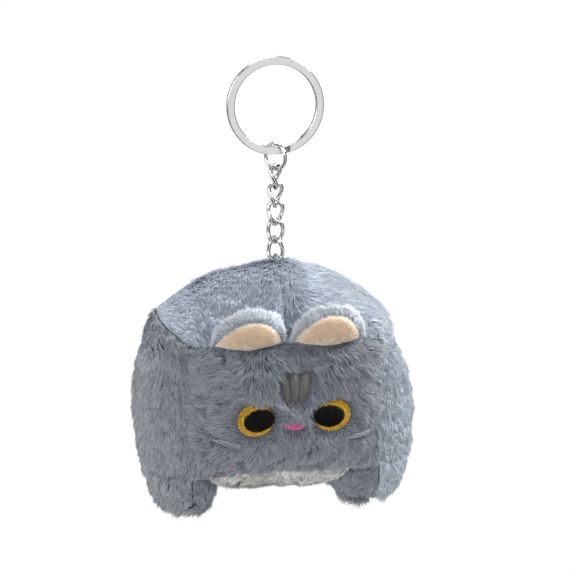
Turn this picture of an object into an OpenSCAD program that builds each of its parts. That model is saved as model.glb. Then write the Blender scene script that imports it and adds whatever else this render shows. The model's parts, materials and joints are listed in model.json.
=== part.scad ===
// Plush cat keychain: a split ring, a jump ring, five twisted links and a stuffed, sewn cat.
// Origin at the centre of the split ring. The face looks towards -Y and +Z is up. Millimetres.

/* [Key ring] */
// Outer diameter of the split ring
ring_d = 30; // [25:1:36]
// Radial width of the flat strip that the ring is coiled from
band_w = 2.4; // [1.8:0.1:3]
// Thickness of one coil of the strip
coil_t = 0.9; // [0.7:0.05:1.2]
// Clearance between the two coils
coil_gap = 0.06; // [0.02:0.01:0.2]
// Radius on the long edges of the strip
band_edge_r = 0.2; // [0.1:0.05:0.3]
// Angle where the front coil bends back to become the rear coil
bend_from = -68; // [-75:1:-60]
// Length of that bend
bend_angle = 16; // [12:1:22]
// Arc that one coil covers before its cut end
coil_sweep = 328; // [320:1:335]

/* [Chain] */
// Outer diameter of the jump ring
jump_d = 9; // [8.4:0.1:11]
// Wire diameter of the jump ring
jump_wire = 1.1; // [0.9:0.05:1.4]
// Width of the saw cut in the jump ring
jump_cut = 0.15; // [0.1:0.05:0.4]
// Turn of the jump ring about the vertical
jump_yaw = -51; // [-60:1:-40]
// Room between the jump ring's wire and the corners of the split ring's strip
jump_room = 0.1; // [0.05:0.05:0.4]
// Outer length of a chain link
link_len = 8.3; // [7:0.1:11]
// Outer width of a chain link
link_w = 5.8; // [5.4:0.1:7]
// Wire diameter of a chain link
link_wire = 1.25; // [1:0.05:1.4]
// Turn of a link's lower end against its upper end
link_twist = 60; // [40:1:75]
// Turn of the first link's upper end about the vertical
first_yaw = 32; // [25:1:40]
// Turn of each link against the link above
yaw_step = -23; // [-26:1:-18]
// Clearance between wires that hang on each other
wire_gap = 0.06; // [0.03:0.01:0.15]

/* [Hang loop] */
// Diameter of the cord loop that is sewn into the top seam
cord_d = 1.3; // [1:0.1:1.6]
// Height from the top of the fabric up to the wire that the loop holds
loop_rise = 3.4; // [3:0.1:5]
// Length of the loop's tails inside the stuffing
tail_len = 7; // [4:0.5:12]

/* [Body] */
// Width between the seams at the two sides of the face
body_w = 60; // [48:1:74]
// Depth between the front seam and the back seam
body_d = 38; // [30:1:48]
// Height of the face from its top seam to its chin seam
face_h = 43; // [35:1:52]
// Rise of the domed top above its front and back seams
crown_rise = 17.6; // [14:0.2:21]
// Swell of the face beyond its seams
face_bulge = 5; // [4:0.2:6]
// Swell of the back beyond its seams
back_bulge = 5; // [4:0.2:6]
// Swell of each side beyond its seams
side_bulge = 10.6; // [9:0.2:13]
// Bow of the two side seams of the top, outwards at half depth
shoulder_out = 4; // [2:0.2:5]
// Bow of those seams upwards at half depth
shoulder_up = 4.5; // [2:0.2:6]
// Drop of the belly below the chin seam
belly_drop = 4; // [3:0.2:5]
// Thickness of the plush cloth with its pile pressed flat
cloth_t = 1.5; // [1.2:0.1:1.8]

/* [Feet] */
// Drop of the feet below the chin seam
foot_drop = 13; // [10.5:0.1:16]
// Width of a foot inwards from its side seam
foot_in = 7; // [5.5:0.1:9]
// Radius of a foot's lower corners, seen from the side
foot_corner_r = 11; // [9:0.1:13]
// Height of the widest level of the sides above the soles
widest_h = 27; // [22:0.5:32]

/* [Ears] */
// Distance between the middles of the two ears
ear_pitch = 24.4; // [24:0.1:30]
// Radius of an ear's rounded outline
ear_r = 11.2; // [9:0.1:11.4]
// Depth of that outline's centre below the ear's base
ear_sink = 2.1; // [1.5:0.1:3]
// Greatest thickness of an ear
ear_t = 3.6; // [3:0.1:4.4]
// Full length of the leaf section that an ear is cut from
ear_leaf_len = 12.4; // [11:0.1:15]
// Width of the rim of plush round the ear's lining
ear_rim = 1.5; // [1:0.1:2]
// Forward lean of an ear at rest
ear_lean = 20; // [14:1:26]
// Distance of an ear's base from the seam that it is sewn along
ear_stand = 1; // [0.8:0.1:1.4]

/* [Embroidery] */
// Distance between the middles of the two eyes
eye_pitch = 23.6; // [21:0.1:27]
// Height of the eyes above the chin seam
eye_h = 22.2; // [18:0.1:26]
// Diameter of the yellow iris
iris_d = 10.8; // [9:0.1:12]
// Diameter of the black pupil
pupil_d = 8.2; // [6.5:0.1:8.8]
// Shift of the pupil towards the nose
pupil_shift = 0.9; // [0:0.1:1]
// Width of the nose
nose_w = 5.6; // [4.5:0.1:7]
// Height of the nose
nose_h = 2.6; // [2:0.1:3.2]
// Height of the nose above the chin seam
nose_up = 19.4; // [16:0.1:21]
// Length of a forehead stripe
stripe_len = 7.7; // [6:0.1:9]
// Width of a stripe at its top
stripe_w = 2.8; // [2.2:0.1:3.2]
// Width of a stripe at its foot
stripe_foot_w = 1.1; // [0.8:0.1:1.3]
// Height of the stripes' feet above the chin seam
stripe_up = 27.5; // [26:0.1:30]
// Fan angle between two stripes
stripe_fan = 15; // [12:1:18]
// Length of a whisker
whisker_len = 8.8; // [6:0.1:11]
// Distance of a whisker's middle from the middle of the face
whisker_out = 20.6; // [18:0.1:23]
// Height of the whiskers above the chin seam
whisker_up = 14.4; // [12:0.1:16]
// Width of a whisker's looped thread
whisker_w = 1.1; // [0.8:0.1:1.4]
// Length of the small red stitch on the cheek
cheek_len = 2.4; // [1.5:0.1:3.5]
// Distance of the cheek stitch from the middle of the face
cheek_out = 18.6; // [15:0.1:22]
// Height of the cheek stitch above the chin seam
cheek_up = 6.6; // [5:0.1:9]
// Height of satin stitch above the cloth
stitch_t = 0.7; // [0.5:0.05:0.9]
// Depth that the stitches pull into the cloth
stitch_sink = 0.5; // [0.4:0.05:0.7]

/* [Hidden] */

left = -1;
right = 1;
nickel = "#c9ccd1";
plush_grey = "#8a8f9a";
plush_light = "#b0bac6";
plush_white = "#e6e6e3";
lining_beige = "#e0caa9";
fill_white = "#f1f1ee";

// Cells along each edge of a panel, cells down the foot, and steps of a swept wire
cells = 12;
foot_cells = 6;
wire_steps = 40;
wire_sides = 12;
$fn = 64;
fine_fn = 200;

// Split ring: the middle of its strip, and the strip's half height and half thickness
ring_mid_r = ring_d / 2 - band_w / 2;
strip_half_t = coil_gap / 2 + coil_t;
strip_corner = norm([band_w / 2, strip_half_t]);

// Chain: heights of the wires' centres, each hanging on the one above
jump_top_z = -ring_mid_r + strip_corner + jump_wire / 2 + jump_room;
jump_mid_r = (jump_d - jump_wire) / 2;
jump_low_z = jump_top_z - 2 * jump_mid_r;
link_half_w = (link_w - link_wire) / 2;
link_half_len = (link_len - link_wire) / 2;
first_link_z = jump_low_z + jump_wire / 2 + link_wire / 2 + wire_gap;
link_pitch = 2 * link_half_len - link_wire - wire_gap;
link_count = 5;
hang_z = first_link_z - (link_count - 1) * link_pitch - 2 * link_half_len;
last_yaw = first_yaw + (link_count - 1) * yaw_step + link_twist;

// Hang loop: an arch of cord over the last link's wire
loop_r = link_wire / 2 + cord_d / 2 + wire_gap;

// Body: seams and levels
half_w = body_w / 2;
half_d = body_d / 2;
crown_z = hang_z - loop_rise;
top_seam_z = crown_z - crown_rise;
chin_z = top_seam_z - face_h;
sole_z = chin_z - foot_drop;
widest_z = sole_z + widest_h;
face_mid_z = (top_seam_z + chin_z) / 2;
// the belly drops between the lines of points that lie clear of the feet
belly_cell = body_w / cells;
belly_half_w = floor((half_w - foot_in) / belly_cell) * belly_cell;

// Ears: the line that both ears fold about
ear_hinge_y = -half_d - ear_stand * sin(30);
ear_hinge_z = top_seam_z + ear_stand * cos(30);
leaf_r = (pow(ear_leaf_len, 2) + pow(ear_t, 2)) / (4 * ear_t);

// --- General functions -------------------------------------------------------------------

function dome(u, power) = 1 - pow(abs(u), power);
function arch(u) = pow(max(0, 1 - pow(abs(u), 2.6)), 1 / 2.6);
function unit(v) = v / norm(v);
function spread(i, n) = 2 * i / n - 1;
// The i-th of a panel's lines of points, from -1 to 1 and closer together near the seams
function share(i) = (spread(i, cells) + sin(90 * spread(i, cells))) / 2;
function flat_list(rows) = [for (row = rows) for (p = row) p];

// Triangles of a grid of points, numbered from first, in rows of cols points
function grid_faces(rows, cols, first, turned) = [
    for (i = [0 : rows - 2], j = [0 : cols - 2], half = [0, 1])
        let (a = first + i * cols + j, b = a + 1, c = a + cols + 1, d = a + cols)
        turned ? (half == 0 ? [a, c, b] : [a, d, c]) : (half == 0 ? [a, b, c] : [a, c, d])];

// Numbers of the points round a grid's edge, in order
function rim(rows, cols) = concat(
    [for (j = [0 : cols - 1]) j],
    [for (i = [1 : rows - 1]) i * cols + cols - 1],
    [for (j = [cols - 2 : -1 : 0]) (rows - 1) * cols + j],
    [for (i = [rows - 2 : -1 : 1]) i * cols]);

// A panel of cloth between an outer and an inner grid of points
module cloth(outer, inner, turned = false) {
    rows = len(outer);
    cols = len(outer[0]);
    n = rows * cols;
    edge = rim(rows, cols);
    m = len(edge);
    walls = [for (k = [0 : m - 1], half = [0, 1])
        let (p = edge[k], q = edge[(k + 1) % m])
        turned ? (half == 0 ? [p, q, q + n] : [p, q + n, p + n])
               : (half == 0 ? [p, q + n, q] : [p, p + n, q + n])];
    polyhedron(concat(flat_list(outer), flat_list(inner)),
        concat(grid_faces(rows, cols, 0, turned), grid_faces(rows, cols, n, !turned), walls));
}

// Triangles from a middle point out to a loop of points, in the loop's own order
function fan(middle, loop) = [for (k = [0 : len(loop) - 1]) [middle, loop[k], loop[(k + 1) % len(loop)]]];

// --- Key ring and chain ------------------------------------------------------------------

module strip_section() {
    inner = [band_w - 2 * band_edge_r, coil_t - 2 * band_edge_r];
    translate([ring_mid_r, 0]) {
        square([band_w, inner[1]], center = true);
        square([inner[0], coil_t], center = true);
        for (x = [-1, 1], y = [-1, 1])
            translate([x * inner[0] / 2, y * inner[1] / 2]) circle(band_edge_r);
    }
}

module coil(from_angle, sweep, y) {
    translate([0, y, 0]) rotate([90, 0, 0]) rotate([0, 0, from_angle])
        rotate_extrude(angle = sweep) strip_section();
}

module bend_slice(angle, y) {
    thin = 0.04;
    translate([0, y, 0]) rotate([0, -angle, 0])
        translate([ring_mid_r, 0, 0]) cube([band_w, coil_t, thin], center = true);
}

module split_ring() {
    coil_y = (coil_t + coil_gap) / 2;
    bend_to = bend_from - bend_angle;
    color(nickel) {
        coil(bend_from, coil_sweep, -coil_y);
        coil(bend_to - coil_sweep, coil_sweep, coil_y);
        hull() {
            bend_slice(bend_from, -coil_y);
            bend_slice(bend_to, coil_y);
        }
    }
}

module jump_ring() {
    color(nickel) translate([0, 0, jump_top_z - jump_mid_r]) rotate([90, 0, jump_yaw])
        difference() {
            rotate_extrude() translate([jump_mid_r, 0]) circle(jump_wire / 2);
            rotate([0, 0, -15]) translate([jump_mid_r, 0, 0])
                cube([2 * jump_wire, jump_cut, 2 * jump_wire], center = true);
        }
}

// A link's centreline is an oval whose plane turns between its two round ends
function link_flat(a) = [
    link_half_w * sin(a),
    (link_half_len - link_half_w) * (cos(a) > 0 ? 1 : -1) * min(1, abs(cos(a)) * 3)
        + link_half_w * cos(a)];
function turn_share(z) = let (s = (1 - z / (0.85 * link_half_len)) / 2, c = min(1, max(0, s)))
    c * c * (3 - 2 * c);
function link_point(a) = let (p = link_flat(a), yaw = link_twist * turn_share(p[1]))
    [p[0] * cos(yaw), p[0] * sin(yaw), p[1]];
function link_side(a) = let (yaw = link_twist * turn_share(link_flat(a)[1])) [-sin(yaw), cos(yaw), 0];
function link_ring(a) = let (
        along = unit(link_point(a + 1) - link_point(a - 1)),
        out = unit(cross(along, link_side(a))),
        side = cross(out, along))
    [for (k = [0 : wire_sides - 1]) let (t = 360 * k / wire_sides)
        link_point(a) + link_wire / 2 * (cos(t) * out + sin(t) * side)];

module twisted_link() {
    rings = [for (i = [0 : wire_steps - 1]) link_ring(360 * i / wire_steps)];
    faces = [for (i = [0 : wire_steps - 1], k = [0 : wire_sides - 1], half = [0, 1])
        let (
            j = (i + 1) % wire_steps, m = (k + 1) % wire_sides,
            a = i * wire_sides + k, b = i * wire_sides + m,
            c = j * wire_sides + m, d = j * wire_sides + k)
        half == 0 ? [a, b, c] : [a, c, d]];
    polyhedron(flat_list(rings), faces);
}

module chain_link(index) {
    color(nickel) translate([0, 0, first_link_z - index * link_pitch - link_half_len])
        rotate([0, 0, first_yaw + index * yaw_step]) twisted_link();
}

module hang_loop() {
    color(plush_grey) rotate([0, 0, last_yaw]) {
        translate([0, 0, hang_z]) rotate([90, 0, 90])
            rotate_extrude(angle = 180) translate([loop_r, 0]) circle(cord_d / 2);
        for (side = [-1, 1])
            translate([0, side * loop_r, crown_z - tail_len])
                cylinder(d = cord_d, h = hang_z - crown_z + tail_len);
    }
}

// --- Sewn body: each surface is a function of two shares, from -1 to 1, and of its inset ----

function front_point(u, v, inset) = [
    u * half_w,
    -(half_d - inset) - face_bulge * dome(u, 3) * dome(v, 3),
    face_mid_z + v * (face_h / 2 - inset)];
function back_point(u, v, inset) = [
    u * half_w,
    half_d - inset + back_bulge * dome(u, 3) * dome(v, 3),
    face_mid_z + v * (face_h / 2 - inset)];
function top_point(u, v, inset) = [
    u * (half_w + shoulder_out * dome(v, 2)),
    v * (half_d - inset),
    top_seam_z - inset + dome(v, 2) * (shoulder_up + (crown_rise - shoulder_up) * dome(u, 2))];
function belly_point(u, v, inset) = [
    u * half_w,
    v * (half_d - inset),
    chin_z + inset - belly_drop * dome(min(1, abs(u) * half_w / belly_half_w), 4) * dome(v, 4)];

// Half the depth of a side at a height, with the foot's rounded lower corners
function side_extent(z, inset) = let (
        r = foot_corner_r - inset,
        over = sole_z + inset + r - z)
    over <= 0 ? half_d - inset : half_d - inset - r + sqrt(max(0, r * r - over * over));
function side_swell(z, inset) = z > widest_z
    ? 1 - pow((z - widest_z) / (top_seam_z - inset - widest_z), 2)
    : arch((widest_z - z) / (widest_z - sole_z - inset));
function upper_levels(inset) = [for (i = [0 : cells - 1])
    top_seam_z - inset + (chin_z - top_seam_z + inset) * i / cells];
function foot_levels(inset) = [for (i = [0 : foot_cells])
    chin_z + (sole_z + inset - chin_z) * sin(90 * i / foot_cells)];
// Share of the shoulder's bow that is left at a level, from 1 at the top seam to 0 at the chin
function bow_share(z, inset) = max(0, (z - chin_z) / (top_seam_z - inset - chin_z));
function side_point(u, z, inset) = [
    half_w + (side_bulge - inset) * dome(u, 2.5) * side_swell(z, inset)
        + shoulder_out * dome(u, 2) * pow(bow_share(z, inset), 1.5),
    u * side_extent(z, inset),
    z + shoulder_up * dome(u, 2) * pow(bow_share(z, inset), 2)];
function gusset_point(u, z, inset) = [
    half_w - (foot_in - inset) * arch(u) * arch((chin_z - z) / (chin_z - sole_z - inset)),
    u * side_extent(z, inset),
    z];

function panel_grid(kind, from_u, to_u, inset) = let (
        n = round(cells * (to_u - from_u) / 2))
    [for (i = [0 : cells]) [for (j = [0 : n])
        let (u = from_u + (to_u - from_u) * j / n, v = share(i))
        kind == "front" ? front_point(u, v, inset)
        : kind == "back" ? back_point(u, v, inset)
        : kind == "top" ? top_point(u, v, inset)
        : belly_point(u, v, inset)]];
function side_grid(inset) = [for (z = concat(upper_levels(inset), foot_levels(inset)))
    [for (j = [0 : cells]) side_point(share(j), z, inset)]];
function gusset_grid(inset) = [for (z = foot_levels(inset))
    [for (j = [0 : cells]) gusset_point(share(j), z, inset)]];

module panel(kind, from_u, to_u, turned) {
    cloth(panel_grid(kind, from_u, to_u, 0), panel_grid(kind, from_u, to_u, cloth_t), turned);
}

// The left side is the right side mirrored
module on_side(side) {
    if (side == right) children();
    else mirror([1, 0, 0]) children();
}

module face_panel() {
    color(plush_grey) panel("front", -1, 1, true);
}

module back_panel() {
    color(plush_grey) panel("back", -1, 1, false);
}

// Holes in the top seam for the two tails of the hang loop
module tail_holes() {
    rotate([0, 0, last_yaw]) for (side = [-1, 1])
        translate([0, side * loop_r, crown_z - tail_len])
            cylinder(d = cord_d, h = tail_len + crown_rise);
}

module top_panel(side) {
    difference() {
        panel("top", side == left ? -1 : 0, side == left ? 0 : 1, true);
        tail_holes();
    }
}

module top_left_panel() {
    color(plush_grey) top_panel(left);
}

module top_right_panel() {
    color(plush_light) top_panel(right);
}

module belly_panel() {
    color(plush_white) panel("belly", -1, 1, false);
}

module side_panel(side) {
    on_side(side) cloth(side_grid(0), side_grid(cloth_t), false);
}

module left_side_panel() {
    color(plush_light) side_panel(left);
}

module right_side_panel() {
    color(plush_light) side_panel(right);
}

module foot_gusset(side) {
    on_side(side) cloth(gusset_grid(0), gusset_grid(cloth_t), true);
}

module left_foot_gusset() {
    color(plush_grey) foot_gusset(left);
}

module right_foot_gusset() {
    color(plush_grey) foot_gusset(right);
}

// The core fill is one closed grid of points: the four inner surfaces run round the body,
// with the back and belly split the other way to match their panels' triangles
function core_ring(u) = concat(
    [for (i = [0 : cells - 1]) front_point(u, share(i), cloth_t)],
    [for (i = [0 : cells - 1]) top_point(u, share(i), cloth_t)],
    [for (i = [cells : -1 : 1]) back_point(u, share(i), cloth_t)],
    [for (i = [cells : -1 : 1]) belly_point(u, share(i), cloth_t)]);

module core_stuffing() {
    rings = [for (j = [0 : cells]) core_ring(spread(j, cells))];
    n = 4 * cells;
    skin = [for (j = [0 : cells - 1], k = [0 : n - 1], half = [0, 1])
        let (m = (k + 1) % n, a = j * n + k, b = j * n + m, c = (j + 1) * n + m, d = (j + 1) * n + k)
        k < 2 * cells ? (half == 0 ? [a, c, b] : [a, d, c]) : (half == 0 ? [a, d, b] : [b, d, c])];
    first_end = [for (k = [0 : n - 1]) k];
    last_end = [for (k = [n - 1 : -1 : 0]) cells * n + k];
    count = n * (cells + 1);
    middles = [for (side = [left, right]) [side * half_w, 0, face_mid_z]];
    color(fill_white) polyhedron(concat(flat_list(rings), middles),
        concat(skin, fan(count, first_end), fan(count + 1, last_end)));
}

// A side's fill: domed outside, flat against the core from the top seam to the chin, then
// bulging inwards down the foot. The foot's inner points share the outer grid's edges.
module side_stuffing(side) {
    outer = side_grid(cloth_t);
    foot = gusset_grid(cloth_t);
    rows = len(outer);
    cols = len(outer[0]);
    foot_rows = len(foot);
    n = rows * cols;
    function number(i, j) = j == 0 || j == cols - 1 || i == foot_rows - 1
        ? (cells + i) * cols + j : n + i * cols + j;
    // the corner cell with three points on the edge is split the other way, or a triangle would double
    foot_skin = [for (i = [0 : foot_rows - 2], j = [0 : cols - 2], half = [0, 1])
        let (a = number(i, j), b = number(i, j + 1), c = number(i + 1, j + 1), d = number(i + 1, j))
        i == foot_rows - 2 && j == 0 ? (half == 0 ? [a, d, b] : [b, d, c])
        : half == 0 ? [a, c, b] : [a, d, c]];
    foot_top = [for (j = [0 : cols - 1]) number(0, j)];
    base = concat(
        [for (j = [cols - 1 : -1 : 0]) j],
        [for (i = [1 : cells]) i * cols],
        [for (i = [cells : -1 : 1]) i * cols + cols - 1]);
    on_side(side) polyhedron(
        concat(flat_list(outer), flat_list(foot), [[half_w, 0, face_mid_z]]),
        concat(grid_faces(rows, cols, 0, false), foot_skin, [foot_top],
            fan(n + foot_rows * cols, base)));
}

module left_stuffing() {
    color(fill_white) side_stuffing(left);
}

module right_stuffing() {
    color(fill_white) side_stuffing(right);
}

// --- Ears ----------------------------------------------------------------------------------

// Places an ear, drawn upright with its base on the origin, on its fold line
module at_ear(side) {
    translate([side * ear_pitch / 2, ear_hinge_y, ear_hinge_z]) rotate([ear_lean, 0, 0]) children();
}

// A rounded outline of an ear, through the ear's whole thickness
module ear_outline(radius) {
    rotate([90, 0, 0]) translate([0, -ear_sink, -ear_t])
        cylinder(r = radius, h = 2 * ear_t, $fn = fine_fn);
}

// A leaf-shaped section, pointed at the base, that runs the ear's whole width
module ear_leaf() {
    rotate([90, 0, 90]) translate([0, 0, -ear_r]) linear_extrude(2 * ear_r) intersection_for (side = [-1, 1])
        translate([side * (leaf_r - ear_t / 2), ear_leaf_len / 2]) circle(leaf_r, $fn = fine_fn);
}

module lining_block() {
    intersection() {
        ear_outline(ear_r - ear_rim);
        translate([-ear_r, -ear_t, 0]) cube([2 * ear_r, 0.9 * ear_t, ear_leaf_len]);
    }
}

module ear_back(side) {
    at_ear(side) difference() {
        intersection() {
            ear_leaf();
            ear_outline(ear_r);
        }
        lining_block();
    }
}

module ear_lining(side) {
    at_ear(side) intersection() {
        ear_leaf();
        lining_block();
    }
}

module left_ear_back() {
    color(plush_grey) ear_back(left);
}

module right_ear_back() {
    color(plush_light) ear_back(right);
}

module left_ear_lining() {
    color(lining_beige) ear_lining(left);
}

module right_ear_lining() {
    color(lining_beige) ear_lining(right);
}

// --- Embroidery ------------------------------------------------------------------------------

// A point of the face at a place across it and a height above the chin seam
function on_face_point(x, up) = front_point(x / half_w, 2 * up / face_h - 1, 0);
function face_across(x, up) = unit(on_face_point(x + 0.1, up) - on_face_point(x - 0.1, up));
function face_up(x, up) = unit(on_face_point(x, up + 0.1) - on_face_point(x, up - 0.1));

// Lays a flat stitched shape on the face, drawn in X and Y and stitch_t high
module stitched(x, up, spin = 0) {
    across = face_across(x, up);
    out = unit(cross(across, face_up(x, up)));
    rise = cross(out, across);
    at = on_face_point(x, up);
    multmatrix([
        [across[0], rise[0], out[0], at[0]],
        [across[1], rise[1], out[1], at[1]],
        [across[2], rise[2], out[2], at[2]]])
        rotate([0, 0, spin]) translate([0, 0, -stitch_sink])
            linear_extrude(stitch_t + stitch_sink) children();
}

module pill(width, height) {
    run = width - height;
    square([run, height], center = true);
    for (end = [-1, 1]) translate([end * run / 2, 0]) circle(height / 2);
}

module pupil_outline(side) {
    translate([-side * pupil_shift, 0]) circle(pupil_d / 2);
}

module iris(side) {
    color("#d9a010") stitched(side * eye_pitch / 2, eye_h) difference() {
        circle(iris_d / 2);
        pupil_outline(side);
    }
}

module pupil(side) {
    color("#101010") stitched(side * eye_pitch / 2, eye_h) pupil_outline(side);
}

module left_iris() {
    iris(left);
}

module right_iris() {
    iris(right);
}

module left_pupil() {
    pupil(left);
}

module right_pupil() {
    pupil(right);
}

module nose() {
    color("#c85c8e") stitched(0, nose_up) pill(nose_w, nose_h);
}

module stripe() {
    body = stripe_len - stripe_w / 2 - stripe_foot_w / 2;
    translate([0, stripe_foot_w / 2]) {
        polygon([[-stripe_foot_w / 2, 0], [stripe_foot_w / 2, 0],
            [stripe_w / 2, body], [-stripe_w / 2, body]]);
        circle(stripe_foot_w / 2);
        translate([0, body]) circle(stripe_w / 2);
    }
}

module forehead_stripes() {
    step = stripe_foot_w + 0.25;
    color("#6b6f6c") stitched(0, stripe_up)
        for (i = [-1 : 1]) translate([i * step, 0]) rotate(-i * stripe_fan) stripe();
}

module whisker(side) {
    droop = 6;
    color("#b9bec6") stitched(side * whisker_out, whisker_up, side * droop) pill(whisker_len, whisker_w);
}

module left_whisker() {
    whisker(left);
}

module right_whisker() {
    whisker(right);
}

module cheek_stitch() {
    thread_w = 0.6;
    color("#c0485c") stitched(-cheek_out, cheek_up) pill(cheek_len, thread_w);
}

split_ring();
jump_ring();
chain_link(0);  // chain_link_1
chain_link(1);  // chain_link_2
chain_link(2);  // chain_link_3
chain_link(3);  // chain_link_4
chain_link(4);  // chain_link_5
hang_loop();
core_stuffing();
left_stuffing();
right_stuffing();
face_panel();
back_panel();
top_left_panel();
top_right_panel();
belly_panel();
left_side_panel();
right_side_panel();
left_foot_gusset();
right_foot_gusset();
left_ear_back();
left_ear_lining();
right_ear_back();
right_ear_lining();
left_iris();
left_pupil();
right_iris();
right_pupil();
nose();
forehead_stripes();
left_whisker();
right_whisker();
cheek_stitch();
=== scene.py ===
"""Looks of a plush cat key charm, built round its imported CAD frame.

Everything is made in the frame's own axes: +Z up the hanging chain, -Y the way the cat's face
looks, +X to the right of someone who faces it. Sizes in the classes are millimetres, and every
mesh is turned to metres as it is made.
"""
from __future__ import annotations

import json
import logging
import math
from dataclasses import dataclass, field
from enum import Enum
from typing import Callable, Sequence

import bmesh
import bpy
import numpy as np
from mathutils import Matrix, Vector, noise
from mathutils.bvhtree import BVHTree

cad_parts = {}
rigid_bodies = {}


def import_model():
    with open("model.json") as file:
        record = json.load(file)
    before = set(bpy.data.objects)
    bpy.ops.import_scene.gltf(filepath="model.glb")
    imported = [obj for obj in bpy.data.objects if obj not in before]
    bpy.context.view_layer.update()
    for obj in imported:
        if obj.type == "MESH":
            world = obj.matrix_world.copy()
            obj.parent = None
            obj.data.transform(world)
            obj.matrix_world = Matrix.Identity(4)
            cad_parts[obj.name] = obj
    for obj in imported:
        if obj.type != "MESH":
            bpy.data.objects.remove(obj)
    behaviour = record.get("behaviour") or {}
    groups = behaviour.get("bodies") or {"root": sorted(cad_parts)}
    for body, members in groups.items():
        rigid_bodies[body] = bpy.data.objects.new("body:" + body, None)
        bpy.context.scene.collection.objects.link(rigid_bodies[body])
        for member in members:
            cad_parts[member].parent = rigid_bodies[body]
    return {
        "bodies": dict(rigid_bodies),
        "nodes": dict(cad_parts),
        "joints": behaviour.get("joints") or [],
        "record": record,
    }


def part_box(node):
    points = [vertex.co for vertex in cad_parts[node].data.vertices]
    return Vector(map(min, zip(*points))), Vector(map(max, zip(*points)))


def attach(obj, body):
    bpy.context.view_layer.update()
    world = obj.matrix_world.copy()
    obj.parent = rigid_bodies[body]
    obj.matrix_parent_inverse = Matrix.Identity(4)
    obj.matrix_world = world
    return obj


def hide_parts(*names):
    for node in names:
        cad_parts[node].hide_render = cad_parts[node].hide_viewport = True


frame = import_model()

MM = 0.001
LOG = logging.getLogger("plush_charm")
Tree = bpy.types.NodeTree
Socket = bpy.types.NodeSocket
Value = Socket | float | tuple
Faces = list[tuple[int, ...]]
Comb = Callable[[np.ndarray], np.ndarray]
Trim = Callable[[np.ndarray, np.ndarray, np.ndarray], tuple[np.ndarray, np.ndarray]]
Stitches = list[tuple[np.ndarray, np.ndarray, float]]


class Side(Enum):
    """The two sides of the cat, with the sign of their X."""

    LEFT = -1
    RIGHT = 1

    @property
    def word(self) -> str:
        """The side's word in piece names."""
        return self.name.lower()


# --- Small helpers ---------------------------------------------------------------------------


def linear(code: str) -> tuple[float, float, float, float]:
    """Turns an sRGB hex colour into the linear colour that shaders read.

    Args:
        code: The colour, such as "#8a8f9a".

    Returns:
        Linear red, green and blue, and an alpha of 1.
    """
    parts = [int(code[i:i + 2], 16) / 255 for i in (1, 3, 5)]
    r, g, b = (c / 12.92 if c <= 0.04045 else ((c + 0.055) / 1.055) ** 2.4 for c in parts)
    return (r, g, b, 1.0)


def add_node(tree: Tree, kind: str, settings: dict | None = None,
             inputs: dict | None = None) -> bpy.types.Node:
    """Adds a node with its settings, values and links.

    Args:
        tree: The node tree.
        kind: The node's type.
        settings: Attribute names and values.
        inputs: Input names or numbers, each with a value or an output socket to link.

    Returns:
        The new node.
    """
    made = tree.nodes.new(kind)
    for name, value in (settings or {}).items():
        setattr(made, name, value)
    for name, value in (inputs or {}).items():
        socket = made.inputs[name]
        if isinstance(value, bpy.types.NodeSocket):
            tree.links.new(value, socket)
        else:
            socket.default_value = value
    return made


def mesh_object(name: str, points: np.ndarray, faces: Faces,
                smooth: bool = True) -> bpy.types.Object:
    """Makes a mesh object from millimetre points.

    Args:
        name: The object's name.
        points: An array of points, in millimetres.
        faces: Each face's point numbers.
        smooth: Whether the faces are shaded smooth.

    Returns:
        The object, linked to the scene, at the origin.
    """
    mesh = bpy.data.meshes.new(name)
    mesh.from_pydata((np.asarray(points) * MM).tolist(), [], faces)
    if smooth:
        mesh.shade_smooth()
    mesh.update()
    made = bpy.data.objects.new(name, mesh)
    bpy.context.scene.collection.objects.link(made)
    return made


def set_attribute(thing: bpy.types.Object, name: str, values: np.ndarray) -> None:
    """Stores a number or a vector for each point of a mesh.

    Args:
        thing: The mesh object.
        name: The attribute's name.
        values: One number, or one row of three, for each point.
    """
    vector = np.ndim(values) == 2
    layer = thing.data.attributes.new(name, "FLOAT_VECTOR" if vector else "FLOAT", "POINT")
    layer.data.foreach_set("vector" if vector else "value", np.ravel(values).astype(np.float32))


def unit(rows: np.ndarray) -> np.ndarray:
    """Scales each row to length 1."""
    return rows / np.maximum(np.linalg.norm(rows, axis=-1, keepdims=True), 1e-9)


def ease(low: float, high: float, value: np.ndarray) -> np.ndarray:
    """Rises smoothly from 0 at low to 1 at high."""
    t = np.clip((value - low) / (high - low), 0, 1)
    return t * t * (3 - 2 * t)


def dome(t: np.ndarray, power: float) -> np.ndarray:
    """Falls from 1 in the middle to 0 at -1 and 1."""
    return 1 - np.abs(t) ** power


def arch(t: np.ndarray, power: float = 2.6) -> np.ndarray:
    """A rounded arch from 0 at -1, through 1 in the middle, to 0 at 1."""
    return np.maximum(0, 1 - np.abs(t) ** power) ** (1 / power)


def shares(count: int) -> np.ndarray:
    """Numbers from -1 to 1, closer together near the ends, where the seams are."""
    t = np.linspace(-1, 1, count + 1)
    return (t + np.sin(t * math.pi / 2)) / 2


def grid_quads(rows: int, cols: int) -> Faces:
    """The quads of a grid of points that is numbered row by row."""
    return [(i * cols + j, i * cols + j + 1, (i + 1) * cols + j + 1, (i + 1) * cols + j)
            for i in range(rows - 1) for j in range(cols - 1)]


def field_noise(points: np.ndarray, size: float, seed: float) -> np.ndarray:
    """Smooth random vectors that depend only on place.

    Args:
        points: Places, in millimetres.
        size: The size of one lump of the field, in millimetres.
        seed: An offset that picks another field.

    Returns:
        One vector for each point, each part from about -1 to 1.
    """
    return np.array([noise.noise_vector(Vector(p) / size + Vector((seed, -seed, 2 * seed)))
                     for p in np.asarray(points, dtype=float)])


# --- Geometry node trees ---------------------------------------------------------------------


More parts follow.
